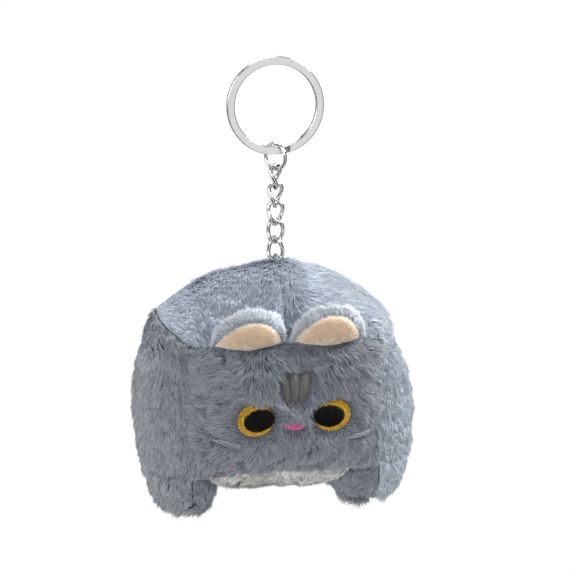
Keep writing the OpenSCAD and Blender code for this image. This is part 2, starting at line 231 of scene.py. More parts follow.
def new_tree(name: str, sockets: Sequence[tuple[str, str]]) -> tuple[Tree, bpy.types.Node]:
    """Starts a geometry node tree with named inputs and one geometry output.

    Args:
        name: The tree's name.
        sockets: Each input's name and socket type.

    Returns:
        The tree and its input node.
    """
    tree = bpy.data.node_groups.new(name, "GeometryNodeTree")
    tree.interface.new_socket("Geometry", in_out="OUTPUT", socket_type="NodeSocketGeometry")
    for label, kind in sockets:
        tree.interface.new_socket(label, in_out="INPUT", socket_type=kind)
    return tree, tree.nodes.new("NodeGroupInput")


def run_tree(tree: Tree, base: bpy.types.Object, name: str, values: dict) -> bpy.types.Object:
    """Runs a geometry node tree on an object and keeps the result as a plain mesh.

    Args:
        tree: The tree.
        base: The object it runs on, which is left without the modifier.
        name: The new piece's name.
        values: The tree's named inputs.

    Returns:
        A new object with the finished mesh.
    """
    modifier = base.modifiers.new(tree.name, "NODES")
    modifier.node_group = tree
    for item in tree.interface.items_tree:
        if item.item_type == "SOCKET" and item.in_out == "INPUT" and item.name in values:
            modifier[item.identifier] = values[item.name]
    graph = bpy.context.evaluated_depsgraph_get()
    mesh = bpy.data.meshes.new_from_object(base.evaluated_get(graph), depsgraph=graph)
    base.modifiers.remove(modifier)
    mesh.name = name
    made = bpy.data.objects.new(name, mesh)
    bpy.context.scene.collection.objects.link(made)
    return made


def pile_tree() -> Tree:
    """A tree that stands a coat of bent fibres on a cloth and combs it.

    Returns:
        The tree. The cloth's points carry "comb", a direction, and "pile", a share of full length.
    """
    tree, start = new_tree("laid_pile", [
        ("Cloth", "NodeSocketGeometry"), ("Fibre", "NodeSocketObject"),
        *((name, "NodeSocketFloat") for name in (
            "Density", "Length", "Width", "Lift", "Clump", "Clump Size", "Lock")),
        ("Seed", "NodeSocketInt"), ("Finish", "NodeSocketMaterial")])
    given = start.outputs

    def named(name: str, kind: str) -> Socket:
        """Reads one of the cloth's attributes."""
        return add_node(tree, "GeometryNodeInputNamedAttribute", {"data_type": kind},
                        {"Name": name}).outputs["Attribute"]

    def maths(operation: str, a: Value, b: Value = 0.0) -> Socket:
        """One number sum."""
        return add_node(tree, "ShaderNodeMath", {"operation": operation}, {0: a, 1: b}).outputs[0]

    def vectors(operation: str, a: Value, b: Value | None = None,
                scale: Value | None = None) -> Socket:
        """One vector sum.

        Args:
            operation: The sum's name.
            a: The first vector.
            b: The second vector.
            scale: A number to scale by.

        Returns:
            The result.
        """
        put = {0: a}
        if b is not None:
            put[1] = b
        if scale is not None:
            put["Scale"] = scale
        return add_node(tree, "ShaderNodeVectorMath", {"operation": operation}, put).outputs[0]

    def wander(size: Value, strength: Value) -> Socket:
        """A smooth random vector that depends on place.

        Args:
            size: The size of its lumps.
            strength: How long it is.

        Returns:
            The vector.
        """
        cells = add_node(tree, "ShaderNodeTexNoise", {"noise_dimensions": "3D"}, {
            "Scale": maths("DIVIDE", 1.0, size), "Detail": 1.0, "Roughness": 0.5})
        centred = vectors("SUBTRACT", cells.outputs["Color"], (0.5, 0.5, 0.5))
        return vectors("SCALE", centred, scale=strength)

    def chance(low: float, high: float, shift: int) -> Socket:
        """A random number for each fibre."""
        return add_node(tree, "FunctionNodeRandomValue", {"data_type": "FLOAT"}, {
            2: low, 3: high, "Seed": maths("ADD", given["Seed"], float(shift))}).outputs[1]

    pile = named("pile", "FLOAT")
    grown = maths("GREATER_THAN", pile, 0.08)
    roots = add_node(tree, "GeometryNodeDistributePointsOnFaces", {"distribute_method": "RANDOM"}, {
        "Mesh": given["Cloth"], "Density": given["Density"], "Seed": given["Seed"]})
    kept = add_node(tree, "GeometryNodeDeleteGeometry", {"domain": "POINT"}, {
        "Geometry": roots.outputs["Points"], "Selection": maths("SUBTRACT", 1.0, grown)})
    stored = add_node(tree, "GeometryNodeStoreNamedAttribute",
                      {"data_type": "FLOAT_VECTOR", "domain": "POINT"},
                      {"Geometry": roots.outputs["Points"], "Name": "face_out",
                       "Value": roots.outputs["Normal"]})
    tree.links.new(stored.outputs["Geometry"], kept.inputs["Geometry"])
    face_out = named("face_out", "FLOAT_VECTOR")
    comb = named("comb", "FLOAT_VECTOR")
    lean = vectors("ADD", vectors("SCALE", face_out, scale=given["Lift"]), comb)
    lean = vectors("ADD", lean, wander(given["Clump Size"], given["Clump"]))
    lean = vectors("ADD", lean, wander(maths("MULTIPLY", given["Clump Size"], 0.3), given["Lock"]))
    spin_z = add_node(tree, "FunctionNodeAlignRotationToVector", {"axis": "Z"}, {"Vector": lean})
    spin = add_node(tree, "FunctionNodeAlignRotationToVector", {"axis": "X", "pivot_axis": "Z"}, {
        "Rotation": spin_z.outputs[0], "Vector": comb})
    swell = add_node(tree, "ShaderNodeTexNoise", {"noise_dimensions": "3D"}, {
        "Scale": maths("DIVIDE", 1.3, given["Clump Size"]), "Detail": 1.0})
    length = maths("MULTIPLY", maths("MULTIPLY", given["Length"], pile),
                   maths("MULTIPLY", chance(0.72, 1.12, 1),
                         maths("ADD", 0.62, maths("MULTIPLY", swell.outputs[0], 0.76))))
    width = maths("MULTIPLY", given["Width"], chance(0.75, 1.25, 2))
    size = add_node(tree, "ShaderNodeCombineXYZ", None, {"X": width, "Y": width, "Z": length})
    fibre = add_node(tree, "GeometryNodeObjectInfo", None, {"Object": given["Fibre"]})
    placed = add_node(tree, "GeometryNodeInstanceOnPoints", None, {
        "Points": kept.outputs[0], "Instance": fibre.outputs["Geometry"],
        "Rotation": spin.outputs[0], "Scale": size.outputs[0]})
    tint = maths("ADD", chance(0.0, 0.55, 3), maths("MULTIPLY", swell.outputs[0], 0.45))
    tinted = add_node(tree, "GeometryNodeStoreNamedAttribute",
                      {"data_type": "FLOAT", "domain": "INSTANCE"},
                      {"Geometry": placed.outputs[0], "Name": "tint", "Value": tint})
    real = add_node(tree, "GeometryNodeRealizeInstances", None, {"Geometry": tinted.outputs[0]})
    dressed = add_node(tree, "GeometryNodeSetMaterial", None, {
        "Geometry": real.outputs[0], "Material": given["Finish"]})
    add_node(tree, "NodeGroupOutput", None, {"Geometry": dressed.outputs[0]})
    return tree


def stitch_tree() -> Tree:
    """A tree that lays a stitch of thread at each point of a plan.

    Returns:
        The tree. The plan's points carry "along", "out" and "span": run, face and length.
    """
    tree, start = new_tree("laid_stitches", [
        ("Plan", "NodeSocketGeometry"), ("Stitch", "NodeSocketObject"),
        ("Width", "NodeSocketFloat"), ("Height", "NodeSocketFloat"),
        ("Seed", "NodeSocketInt"), ("Finish", "NodeSocketMaterial")])
    given = start.outputs
    along = add_node(tree, "GeometryNodeInputNamedAttribute", {"data_type": "FLOAT_VECTOR"},
                     {"Name": "along"}).outputs["Attribute"]
    out = add_node(tree, "GeometryNodeInputNamedAttribute", {"data_type": "FLOAT_VECTOR"},
                   {"Name": "out"}).outputs["Attribute"]
    span = add_node(tree, "GeometryNodeInputNamedAttribute", {"data_type": "FLOAT"},
                    {"Name": "span"}).outputs["Attribute"]
    flat = add_node(tree, "FunctionNodeAlignRotationToVector", {"axis": "Z"}, {"Vector": out})
    spin = add_node(tree, "FunctionNodeAlignRotationToVector", {"axis": "X", "pivot_axis": "Z"}, {
        "Rotation": flat.outputs[0], "Vector": along})
    size = add_node(tree, "ShaderNodeCombineXYZ", None, {
        "X": span, "Y": given["Width"], "Z": given["Height"]})
    stitch = add_node(tree, "GeometryNodeObjectInfo", None, {"Object": given["Stitch"]})
    placed = add_node(tree, "GeometryNodeInstanceOnPoints", None, {
        "Points": given["Plan"], "Instance": stitch.outputs["Geometry"],
        "Rotation": spin.outputs[0], "Scale": size.outputs[0]})
    tint = add_node(tree, "FunctionNodeRandomValue", {"data_type": "FLOAT"},
                    {2: 0.0, 3: 1.0, "Seed": given["Seed"]})
    tinted = add_node(tree, "GeometryNodeStoreNamedAttribute",
                      {"data_type": "FLOAT", "domain": "INSTANCE"},
                      {"Geometry": placed.outputs[0], "Name": "tint", "Value": tint.outputs[1]})
    real = add_node(tree, "GeometryNodeRealizeInstances", None, {"Geometry": tinted.outputs[0]})
    dressed = add_node(tree, "GeometryNodeSetMaterial", None, {
        "Geometry": real.outputs[0], "Material": given["Finish"]})
    add_node(tree, "NodeGroupOutput", None, {"Geometry": dressed.outputs[0]})
    return tree


def wire_tree() -> Tree:
    """A tree that sweeps a round section along a drawn line.

    Returns:
        The tree.
    """
    tree, start = new_tree("swept_round", [
        ("Line", "NodeSocketGeometry"), ("Radius", "NodeSocketFloat"), ("Sides", "NodeSocketInt"),
        ("Finish", "NodeSocketMaterial")])
    given = start.outputs
    path = add_node(tree, "GeometryNodeMeshToCurve", None, {"Mesh": given["Line"]})
    section = add_node(tree, "GeometryNodeCurvePrimitiveCircle", None, {
        "Resolution": given["Sides"], "Radius": given["Radius"]})
    swept = add_node(tree, "GeometryNodeCurveToMesh", None, {
        "Curve": path.outputs[0], "Profile Curve": section.outputs[0], "Fill Caps": True})
    smooth = add_node(tree, "GeometryNodeSetShadeSmooth", None, {"Geometry": swept.outputs[0]})
    real = add_node(tree, "GeometryNodeRealizeInstances", None, {"Geometry": smooth.outputs[0]})
    dressed = add_node(tree, "GeometryNodeSetMaterial", None, {
        "Geometry": real.outputs[0], "Material": given["Finish"]})
    add_node(tree, "NodeGroupOutput", None, {"Geometry": dressed.outputs[0]})
    return tree


# --- Finishes --------------------------------------------------------------------------------


def new_material(name: str) -> tuple[bpy.types.Material, Tree, bpy.types.Node]:
    """Starts a material.

    Args:
        name: The finish's name.

    Returns:
        The material, its node tree and its Principled shader.
    """
    made = bpy.data.materials.new(name)
    made.use_nodes = True
    tree = made.node_tree
    return made, tree, tree.nodes["Principled BSDF"]


def attribute(tree: Tree, name: str) -> Socket:
    """Reads a number that the mesh carries."""
    return add_node(tree, "ShaderNodeAttribute", {"attribute_name": name}).outputs["Fac"]


def mix_colours(tree: Tree, factor: Value, first: Value, second: Value,
                blend: str = "MIX") -> Socket:
    """Mixes two colours in a shader tree."""
    return add_node(tree, "ShaderNodeMix", {"data_type": "RGBA", "blend_type": blend},
                    {0: factor, 6: first, 7: second}).outputs[2]


def remap(tree: Tree, value: Value, low: float, high: float, to_low: float,
          to_high: float) -> Socket:
    """Maps one range of numbers on another."""
    return add_node(tree, "ShaderNodeMapRange", None, {
        0: value, 1: low, 2: high, 3: to_low, 4: to_high}).outputs[0]


def bump(tree: Tree, height: Value, strength: float, distance: float) -> Socket:
    """Turns a height into a bumped normal, with its distance in metres."""
    return add_node(tree, "ShaderNodeBump", None, {
        "Strength": strength, "Distance": distance, "Height": height}).outputs[0]


@dataclass(frozen=True)
class PilePlush:
    """Cut-pile polyester plush: matt crimped fibres, paler at the tip, with painted shade that
    darkens them towards the root.
    """

    name: str
    root: str
    tip: str
    sheen: float = 0.3

    def make(self) -> bpy.types.Material:
        """Builds the material of the standing fibres.

        Returns:
            The material.
        """
        made, tree, shader = new_material(self.name)
        # painted shade: the colour darkens from the tip to the root, where the pile shades itself
        colour = mix_colours(tree, attribute(tree, "tip"), linear(self.root), linear(self.tip))
        # bundles of fibre take the dye a little differently, so they differ in depth of colour
        depth = remap(tree, attribute(tree, "tint"), 0.0, 1.0, 0.78, 1.16)
        # the cloth's shade carries painted sheen on the side panels, and tone that differs at
        # random
        shade = attribute(tree, "shade")
        total = add_node(tree, "ShaderNodeMath", {"operation": "MULTIPLY"}, {0: depth, 1: shade})
        grey = add_node(tree, "ShaderNodeHueSaturation", None, {
            "Value": total.outputs[0], "Color": colour}).outputs[0]
        tree.links.new(grey, shader.inputs["Base Color"])
        shader.inputs["Roughness"].default_value = 0.72
        shader.inputs["Specular IOR Level"].default_value = 0.28
        shader.inputs["Sheen Weight"].default_value = self.sheen
        shader.inputs["Sheen Roughness"].default_value = 0.45
        return made


@dataclass(frozen=True)
class KnitBacking:
    """Warp-knitted polyester ground of a plush: dull, with fine ribs that show only at seams."""

    name: str
    colour: str
    rib: float = 0.7  # rib spacing in millimetres, twice the real one so that it shows

    def make(self) -> bpy.types.Material:
        """Builds the material of the cloth under the fibres.

        Returns:
            The material.
        """
        made, tree, shader = new_material(self.name)
        place = add_node(tree, "ShaderNodeTexCoord").outputs["Object"]
        ribs = add_node(tree, "ShaderNodeTexWave", {"bands_direction": "Z"}, {
            "Vector": place, "Scale": 1 / (self.rib * MM) / math.tau * 2, "Distortion": 1.5})
        cloud = add_node(tree, "ShaderNodeTexNoise", None, {"Vector": place, "Scale": 400.0})
        dark = tuple(0.6 * c for c in linear(self.colour)[:3]) + (1.0,)
        colour = mix_colours(tree, cloud.outputs[0], linear(self.colour), dark)
        tree.links.new(colour, shader.inputs["Base Color"])
        tree.links.new(bump(tree, ribs.outputs[1], 0.4, 0.0002), shader.inputs["Normal"])
        shader.inputs["Roughness"].default_value = 0.95
        return made


@dataclass(frozen=True)
class SatinThread:
    """Embroidery thread laid side by side: soft gloss along each strand, small shifts in shade."""

    name: str
    colour: str
    roughness: float = 0.42
    spread: float = 0.16
    sheen: float = 0.15
    gloss: float = 0.45

    def make(self) -> bpy.types.Material:
        """Builds the thread's material.

        Returns:
            The material.
        """
        made, tree, shader = new_material(self.name)
        depth = remap(tree, attribute(tree, "tint"), 0.0, 1.0, 1 - self.spread, 1 + self.spread)
        colour = add_node(tree, "ShaderNodeHueSaturation", None, {
            "Value": depth, "Color": linear(self.colour)}).outputs[0]
        tree.links.new(colour, shader.inputs["Base Color"])
        place = add_node(tree, "ShaderNodeTexCoord").outputs["Object"]
        # the ply twist of the thread, 0.4 mm a turn
        ply = add_node(tree, "ShaderNodeTexWave", {"bands_direction": "DIAGONAL"}, {
            "Vector": place, "Scale": 1 / (0.4 * MM) / math.tau * 2, "Distortion": 0.6})
        tree.links.new(bump(tree, ply.outputs[1], 0.25, 0.00006), shader.inputs["Normal"])
        shader.inputs["Roughness"].default_value = self.roughness
        shader.inputs["Sheen Weight"].default_value = self.sheen
        shader.inputs["Specular IOR Level"].default_value = self.gloss
        return made


@dataclass(frozen=True)
class NickelPlate:
    """Bright nickel plate on steel: a clear mirror, broken by drawing marks and tumbling haze."""

    name: str
    colour: str
    roughness: float

    def make(self) -> bpy.types.Material:
        """Builds the metal's material.

        Returns:
            The material.
        """
        made, tree, shader = new_material(self.name)
        place = add_node(tree, "ShaderNodeTexCoord").outputs["Object"]
        haze = add_node(tree, "ShaderNodeTexNoise", None, {
            "Vector": place, "Scale": 700.0, "Detail": 4.0})
        rough = remap(tree, haze.outputs[0], 0.3, 0.7, self.roughness * 0.6, self.roughness * 1.5)
        tree.links.new(rough, shader.inputs["Roughness"])
        cloud = add_node(tree, "ShaderNodeTexNoise", None, {"Vector": place, "Scale": 180.0})
        dull = tuple(0.86 * c for c in linear(self.colour)[:3]) + (1.0,)
        tree.links.new(mix_colours(tree, cloud.outputs[0], linear(self.colour), dull),
                       shader.inputs["Base Color"])
        tree.links.new(bump(tree, haze.outputs[0], 0.08, 0.00004), shader.inputs["Normal"])
        shader.inputs["Metallic"].default_value = 1.0
        return made


@dataclass(frozen=True)
class FibreFill:
    """Hollow polyester fill: a white, matt, tangled wad."""

    name: str
    colour: str

    def make(self) -> bpy.types.Material:
        """Builds the fill's material.

        Returns:
            The material.
        """
        made, tree, shader = new_material(self.name)
        place = add_node(tree, "ShaderNodeTexCoord").outputs["Object"]
        tangle = add_node(tree, "ShaderNodeTexNoise", None, {
            "Vector": place, "Scale": 900.0, "Detail": 6.0, "Distortion": 2.0})
        dark = tuple(0.75 * c for c in linear(self.colour)[:3]) + (1.0,)
        tree.links.new(mix_colours(tree, tangle.outputs[0], dark, linear(self.colour)),
                       shader.inputs["Base Color"])
        tree.links.new(bump(tree, tangle.outputs[0], 0.7, 0.0004), shader.inputs["Normal"])
        shader.inputs["Roughness"].default_value = 1.0
        return made


@dataclass(frozen=True)
class BraidedCord:
    """Round braided polyester cord: crossing strands 0.5 mm apart, with painted shade in the gaps
    between them.
    """

    name: str
    colour: str

    def make(self) -> bpy.types.Material:
        """Builds the cord's material.

        Returns:
            The material.
        """
        made, tree, shader = new_material(self.name)
        place = add_node(tree, "ShaderNodeTexCoord").outputs["Object"]
        one = add_node(tree, "ShaderNodeTexWave", {"bands_direction": "DIAGONAL"}, {
            "Vector": place, "Scale": 640.0})
        turned = add_node(tree, "ShaderNodeMapping", None, {
            "Vector": place, "Scale": (1.0, -1.0, 1.0)})
        two = add_node(tree, "ShaderNodeTexWave", {"bands_direction": "DIAGONAL"}, {
            "Vector": turned.outputs[0], "Scale": 640.0})
        cross = add_node(tree, "ShaderNodeMath", {"operation": "MAXIMUM"}, {
            0: one.outputs[1], 1: two.outputs[1]}).outputs[0]
        # painted shade: the colour darkens in the gaps between the crossing strands
        dark = tuple(0.4 * c for c in linear(self.colour)[:3]) + (1.0,)
        tree.links.new(mix_colours(tree, cross, dark, linear(self.colour)),
                       shader.inputs["Base Color"])
        tree.links.new(bump(tree, cross, 0.6, 0.0002), shader.inputs["Normal"])
        shader.inputs["Roughness"].default_value = 0.8
        return made


Finish = PilePlush | KnitBacking | SatinThread | NickelPlate | FibreFill | BraidedCord


# --- Sewn body -------------------------------------------------------------------------------


@dataclass(frozen=True)
class Coat:
    """How the pile of one panel stands. Sizes are millimetres."""

    finish: PilePlush
    backing: KnitBacking
    slot: str
    length: float
    density: float
    width: float = 0.3
    lift: float = 0.62
    clump: float = 1.5
    clump_size: float = 4.5
    lock: float = 1.2


@dataclass
class Panel:
    """One sewn panel: a grid of points, its distance to the seams, and its coat."""

    name: str
    rows: int
    cols: int
    points: np.ndarray
    seam: np.ndarray
    inside: tuple[float, float, float]
    coat: Coat
    comb: Comb
    refine: int = 1
    turned: bool = False

    def quads(self) -> Faces:
        """The grid's quads, with their fronts outwards."""
        faces = grid_quads(self.rows, self.cols)
        return [tuple(reversed(f)) for f in faces] if self.turned else faces

    def face_out(self) -> None:
        """Finds which way round the quads have to run for their fronts to face outwards."""
        grid = self.points.reshape(self.rows, self.cols, 3)
        i, j = self.rows // 2, self.cols // 2
        front = np.cross(grid[i, j + 1] - grid[i, j], grid[i + 1, j] - grid[i, j])
        self.turned = float(np.dot(front, grid[i, j] - np.array(self.inside))) < 0

    def finer(self, factor: int) -> "Panel":
        """A copy of the panel with each cell cut into factor by factor cells.

        Args:
            factor: How many cells each side of a cell becomes.

        Returns:
            The finer panel.
        """
        grid = self.points.reshape(self.rows, self.cols, 3)
        seam = self.seam.reshape(self.rows, self.cols, 1)
        both = np.concatenate([grid, seam], axis=2)
        for axis in (0, 1):
            count = both.shape[axis]
            at = np.linspace(0, count - 1, (count - 1) * factor + 1)
            low = np.minimum(at.astype(int), count - 2)
            part = (at - low).reshape([-1 if k == axis else 1 for k in range(3)])
            both = np.take(both, low, axis) * (1 - part) + np.take(both, low + 1, axis) * part
        return Panel(self.name, both.shape[0], both.shape[1], both[..., :3].reshape(-1, 3),
                     both[..., 3].ravel(), self.inside, self.coat, self.comb, 1, self.turned)

    def normals(self) -> np.ndarray:
        """One outward normal for each point.

        Returns:
            A row of unit vectors.
        """
        grid = self.points.reshape(self.rows, self.cols, 3)
        down, across = np.gradient(grid, axis=0), np.gradient(grid, axis=1)
        out = np.cross(across, down).reshape(-1, 3)
        return unit(-out if self.turned else out)


# DEEP_GREY, LIGHT and SILVER are lighter copies of the blue-grey pile GREY: painted light for how
# light falls on the top and side panels
GREY = PilePlush("blue_grey_cut_pile_polyester", "#3a3e46", "#a3a9b3", 0.2)
DEEP_GREY = PilePlush("blue_grey_pile_brushed_towards", "#667082", "#d4deec", 0.3)
LIGHT = PilePlush("blue_grey_pile_brushed_away", "#737d8b", "#ccd8e6", 0.5)
SILVER = PilePlush("grey_pile_brushed_down", "#4b515a", "#b3bac2", 0.3)
WHITE = PilePlush("white_short_pile_polyester", "#b9b9b7", "#f6f6f4", 0.2)
BEIGE = PilePlush("beige_velboa", "#dac4ac", "#f7ecde", 0.2)
RIM = PilePlush("blue_grey_pile_at_an_edge", "#8b929f", "#d8dde6", 0.3)
GREY_KNIT = KnitBacking("grey_warp_knit", "#5c606a")
LIGHT_KNIT = KnitBacking("light_grey_warp_knit", "#7d8691")
WHITE_KNIT = KnitBacking("white_warp_knit", "#c9c9c6")
BEIGE_KNIT = KnitBacking("beige_warp_knit", "#c9ae92")


def along_face(points: np.ndarray) -> np.ndarray:
    """Combs the face: sideways on its left cheek, slanting on its right, down by the chin.

    Args:
        points: Places on the face, in millimetres.

    Returns:
        One direction for each place.
    """
    x, z = points[:, 0], points[:, 2]
    cheek = ease(-4, -20, x)
    chin = ease(-96, -106, z)
    angle = np.radians(-62 + 18 * ease(4, 24, x) - 112 * cheek)
    angle = angle * (1 - chin) + np.radians(-98 - 25 * cheek) * chin
    angle = angle + 0.75 * field_noise(points, 8.5, 3.1)[:, 0]
    return np.stack([np.cos(angle), np.zeros_like(x), np.sin(angle)], axis=1)


def towards(*way: float) -> Comb:
    """A comb that runs one way, with slow swirls.

    Args:
        way: The direction.

    Returns:
        The comb.
    """
    return lambda points: np.array(way) + 0.45 * field_noise(points, 11.0, 7.7)


def forward_top(points: np.ndarray) -> np.ndarray:
    """Combs the left half of the top forwards, and away from its side seam.

    Args:
        points: Places, in millimetres.

    Returns:
        One direction for each place.
    """
    share = ease(-20, -32, points[:, 0])[:, None]
    way = np.array([-0.3, -1, 0]) * (1 - share) + np.array([0.7, -0.8, 0]) * share
    return way + 0.35 * field_noise(points, 11.0, 7.7)


def parted_top(points: np.ndarray) -> np.ndarray:
    """Combs the right half of the top: forwards by the middle seam, then to the right.

    Args:
        points: Places, in millimetres.

    Returns:
        One direction for each place.
    """
    share = ease(0, 9, points[:, 0])[:, None]
    way = np.array([-0.3, -1, 0]) * (1 - share) + np.array([1, -0.1, -0.2]) * share
    return way + 0.35 * field_noise(points, 11.0, 7.7)


@dataclass
class SewnBody:
    """The cat's body: panels sewn to one closed shell, filled, and covered with pile."""

    half_w: float
    half_d: float
    top: float
    chin: float
    crown: float
    sole: float
    reach: float
    foot_sag: float = 2.2
    face_bulge: float = 5.0
    shoulder_out: tuple[float, float] = (6.0, 1.5)
    shoulder_up: tuple[float, float] = (3.6, 0.4)
    shoulder_slope: tuple[float, float] = (2.2, 1.6)
    belly_drop: float = 6.0
    foot_in: tuple[float, float] = (6.8, 12.5)
    foot_corner: float = 11.0
    widest_rise: float = 27.0
    seam_depth: float = 1.5
    seam_reach: float = 2.6
    roll: float = 0.9
    cloth: float = 1.2
    cells_across: int = 40
    cells_deep: int = 28
    cells_high: int = 30
    cells_foot: int = 12
    panels: list[Panel] = field(default_factory=list)

    @classmethod
    def from_frame(cls) -> "SewnBody":
        """Reads the body's main sizes from the CAD nodes.

        Returns:
            The body, not cut yet.
        """
        face_low, face_high = (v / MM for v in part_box("face_panel"))
        side_low, side_high = (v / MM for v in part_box("right_side_panel"))
        return cls(half_w=face_high.x, half_d=side_high.y, top=face_high.z, chin=face_low.z,
                   crown=(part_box("top_left_panel")[1] / MM).z, sole=side_low.z - cls.foot_sag,
                   reach=side_high.x)

    def front(self, u: np.ndarray, v: np.ndarray, way: float) -> np.ndarray:
        """Points of the face or the back, for shares across and up.

        Args:
            u: Shares across, from -1 to 1.
            v: Shares up, from -1 to 1.
            way: -1 for the face and 1 for the back.

        Returns:
            The points.
        """
        middle, half = (self.top + self.chin) / 2, (self.top - self.chin) / 2
        y = way * (self.half_d + self.face_bulge * dome(u, 3) * dome(v, 3))
        return np.stack([u * self.half_w, y, middle + v * half], axis=-1)

    def roof(self, u: np.ndarray, v: np.ndarray) -> np.ndarray:
        """Points of the domed top, for shares across and back.

        Args:
            u: Shares across, from -1 to 1.
            v: Shares back, from -1 to 1.

        Returns:
            The points.
        """
        side = ease(-0.5, 0.5, u)
        raised = self.shoulder_up[0] * (1 - side) + self.shoulder_up[1] * side
        wide = self.shoulder_out[0] * (1 - side) + self.shoulder_out[1] * side
        rise = (self.crown - self.top - raised) * dome(v, 2.3) * dome(u, 2.35)
        z = self.top + raised * dome(v, 2) + rise
        return np.stack([u * (self.half_w + wide * dome(v, 2)), v * self.half_d, z], -1)

    def belly(self, u: np.ndarray, v: np.ndarray) -> np.ndarray:
        """Points of the belly, which ends where the feet's gussets begin.

        Args:
            u: Shares across, from -1 to 1.
            v: Shares back, from -1 to 1.

        Returns:
            The points.
        """
        inner = np.where(u < 0, *self.foot_in)
        x = u * (self.half_w - inner * arch(v))
        return np.stack([x, v * self.half_d,
                         self.chin - self.belly_drop * dome(u, 4) * dome(v, 4)], -1)

    def foot_extent(self, z: np.ndarray) -> np.ndarray:
        """Half the depth of a foot at a height, with its rounded lower corners."""
        over = np.clip(self.sole + self.foot_corner - z, 0, self.foot_corner)
        return self.half_d - self.foot_corner + np.sqrt(self.foot_corner ** 2 - over ** 2)

    def flank(self, u: np.ndarray, z: np.ndarray, side: Side) -> np.ndarray:
        """Points of a side, for shares back and heights before the shoulder's bow.

        Args:
            u: Shares back, from -1 to 1.
            z: Heights.
            side: Whose slope and shoulder it takes.

        Returns:
            The points, with X outwards.
        """
        outwards, raised, slope = (v[side is Side.RIGHT] for v in (
            self.shoulder_out, self.shoulder_up, self.shoulder_slope))
        widest = self.sole + self.widest_rise
        above = np.clip((z - widest) / (self.top - widest), 0, 1)
        below = np.clip((widest - z) / (widest - self.sole), 0, 1)
        swell = np.where(z > widest, 1 - above ** slope, arch(below))
        bow = np.clip((z - self.chin) / (self.top - self.chin), 0, 1)
        x = (self.half_w + (self.reach - self.half_w) * dome(u, 2.5) * swell
             + outwards * dome(u, 2) * bow ** 1.5)
        return np.stack([x, u * self.foot_extent(z),
                         z + raised * dome(u, 2) * bow ** 2], -1)

    def gusset(self, u: np.ndarray, z: np.ndarray, inner: float) -> np.ndarray:
        """Points of the inner side of a right foot that reaches inwards by inner.

        Args:
            u: Shares back, from -1 to 1.
            z: Heights.
            inner: How far the foot reaches inwards.

        Returns:
            The points, with X outwards.
        """
        down = (self.chin - z) / (self.chin - self.sole)
        return np.stack([self.half_w - inner * arch(u) * arch(down),
                         u * self.foot_extent(z), z], -1)

    def cut(self) -> None:
        """Cuts every panel to its shape."""
        across, deep, high = (
            shares(n) for n in (self.cells_across, self.cells_deep, self.cells_high))
        half_h = (self.top - self.chin) / 2
        face = Coat(GREY, GREY_KNIT, "grey_plush", 4.4, 11.5)
        back = Coat(GREY, GREY_KNIT, "grey_plush", 4.2, 8.0)
        # the top and side panels take lighter copies of the grey pile: painted light
        top_left = Coat(DEEP_GREY, LIGHT_KNIT, "grey_plush", 3.9, 14.0, width=0.26, lift=0.65,
                        clump=0.7, clump_size=3.5, lock=0.6)
        top_right = Coat(LIGHT, LIGHT_KNIT, "light_plush", 4.2, 13.5, width=0.26, lift=0.55,
                         clump=0.6, lock=0.6)
        left_side = Coat(SILVER, GREY_KNIT, "light_plush", 4.1, 10.5, lift=0.55, clump=0.8,
                         lock=0.8)
        right_side = Coat(LIGHT, LIGHT_KNIT, "light_plush", 4.1, 10.5, lift=0.55, clump=0.7,
                          lock=0.8)
        foot = Coat(GREY, GREY_KNIT, "grey_plush", 4.2, 11.0, lift=0.6)
        white = Coat(WHITE, WHITE_KNIT, "white_plush", 2.8, 13.0, width=0.26, lift=0.9, clump=0.35,
                     clump_size=5.0, lock=0.5)
        self.panels = []

        def add(name: str, grid: np.ndarray, seam: np.ndarray, inside: tuple, coat: Coat,
                comb: Comb, refine: int = 1) -> None:
            """Adds one panel.

            Args:
                name: Its CAD node.
                grid: Its points, row by row.
                seam: How far each point is from a seam.
                inside: A place behind the panel.
                coat: Its pile.
                comb: The way its pile lies.
                refine: How many times finer its pile is laid.
            """
            rows, cols = grid.shape[:2]
            made = Panel(name, rows, cols, grid.reshape(-1, 3), np.broadcast_to(
                seam, (rows, cols)).ravel().copy(), inside, coat, comb, refine)
            made.face_out()
            self.panels.append(made)

        u, v = np.meshgrid(across, high)
        edge = np.minimum((1 - abs(u)) * self.half_w, (1 - abs(v)) * half_h)
        core = (0.0, 0.0, (self.top + self.chin) / 2)
        add("face_panel", self.front(u, v, -1), edge, core, face, along_face, 3)
        add("back_panel", self.front(u, v, 1), edge, core, back, towards(0.1, 0, -1))
        middle = self.cells_across // 2
        for name, part, coat, comb in (
                ("top_left_panel", across[:middle + 1], top_left, forward_top),
                ("top_right_panel", across[middle:], top_right, parted_top)):
            u, v = np.meshgrid(part, deep)
            sides = (1 - abs(u)) * self.half_w + 4.5 * ease(-0.95, -0.5, v)
            edge = np.minimum(np.minimum(sides, (1 - abs(v)) * self.half_d + 0.8),
                              abs(u) * self.half_w + 4.0)
            add(name, self.roof(u, v), edge, core, coat, comb)
        u, v = np.meshgrid(across, deep)
        edge = np.minimum((1 - abs(u)) * (self.half_w - self.foot_in[0]),
                          (1 - abs(v)) * self.half_d)
        add("belly_panel", self.belly(u, v), edge, core, white, towards(0, -0.7, -0.6))
        fall = self.chin + (self.sole - self.chin) * np.sin(
            np.linspace(0, math.pi / 2, self.cells_foot + 1))
        middle_z = (self.top + self.chin) / 2
        u, z = np.meshgrid(deep, np.concatenate([middle_z + half_h * high[::-1], fall[1:]]))
        upper = self.top - z + 4.5 * ease(-0.95, -0.5, u)
        flank_edge = np.minimum(np.minimum((1 - abs(u)) * self.foot_extent(z), upper),
                                1.3 * (z - self.sole))
        flanks = {side: self.flank(u, z, side) for side in Side}
        u, z = np.meshgrid(deep, fall)
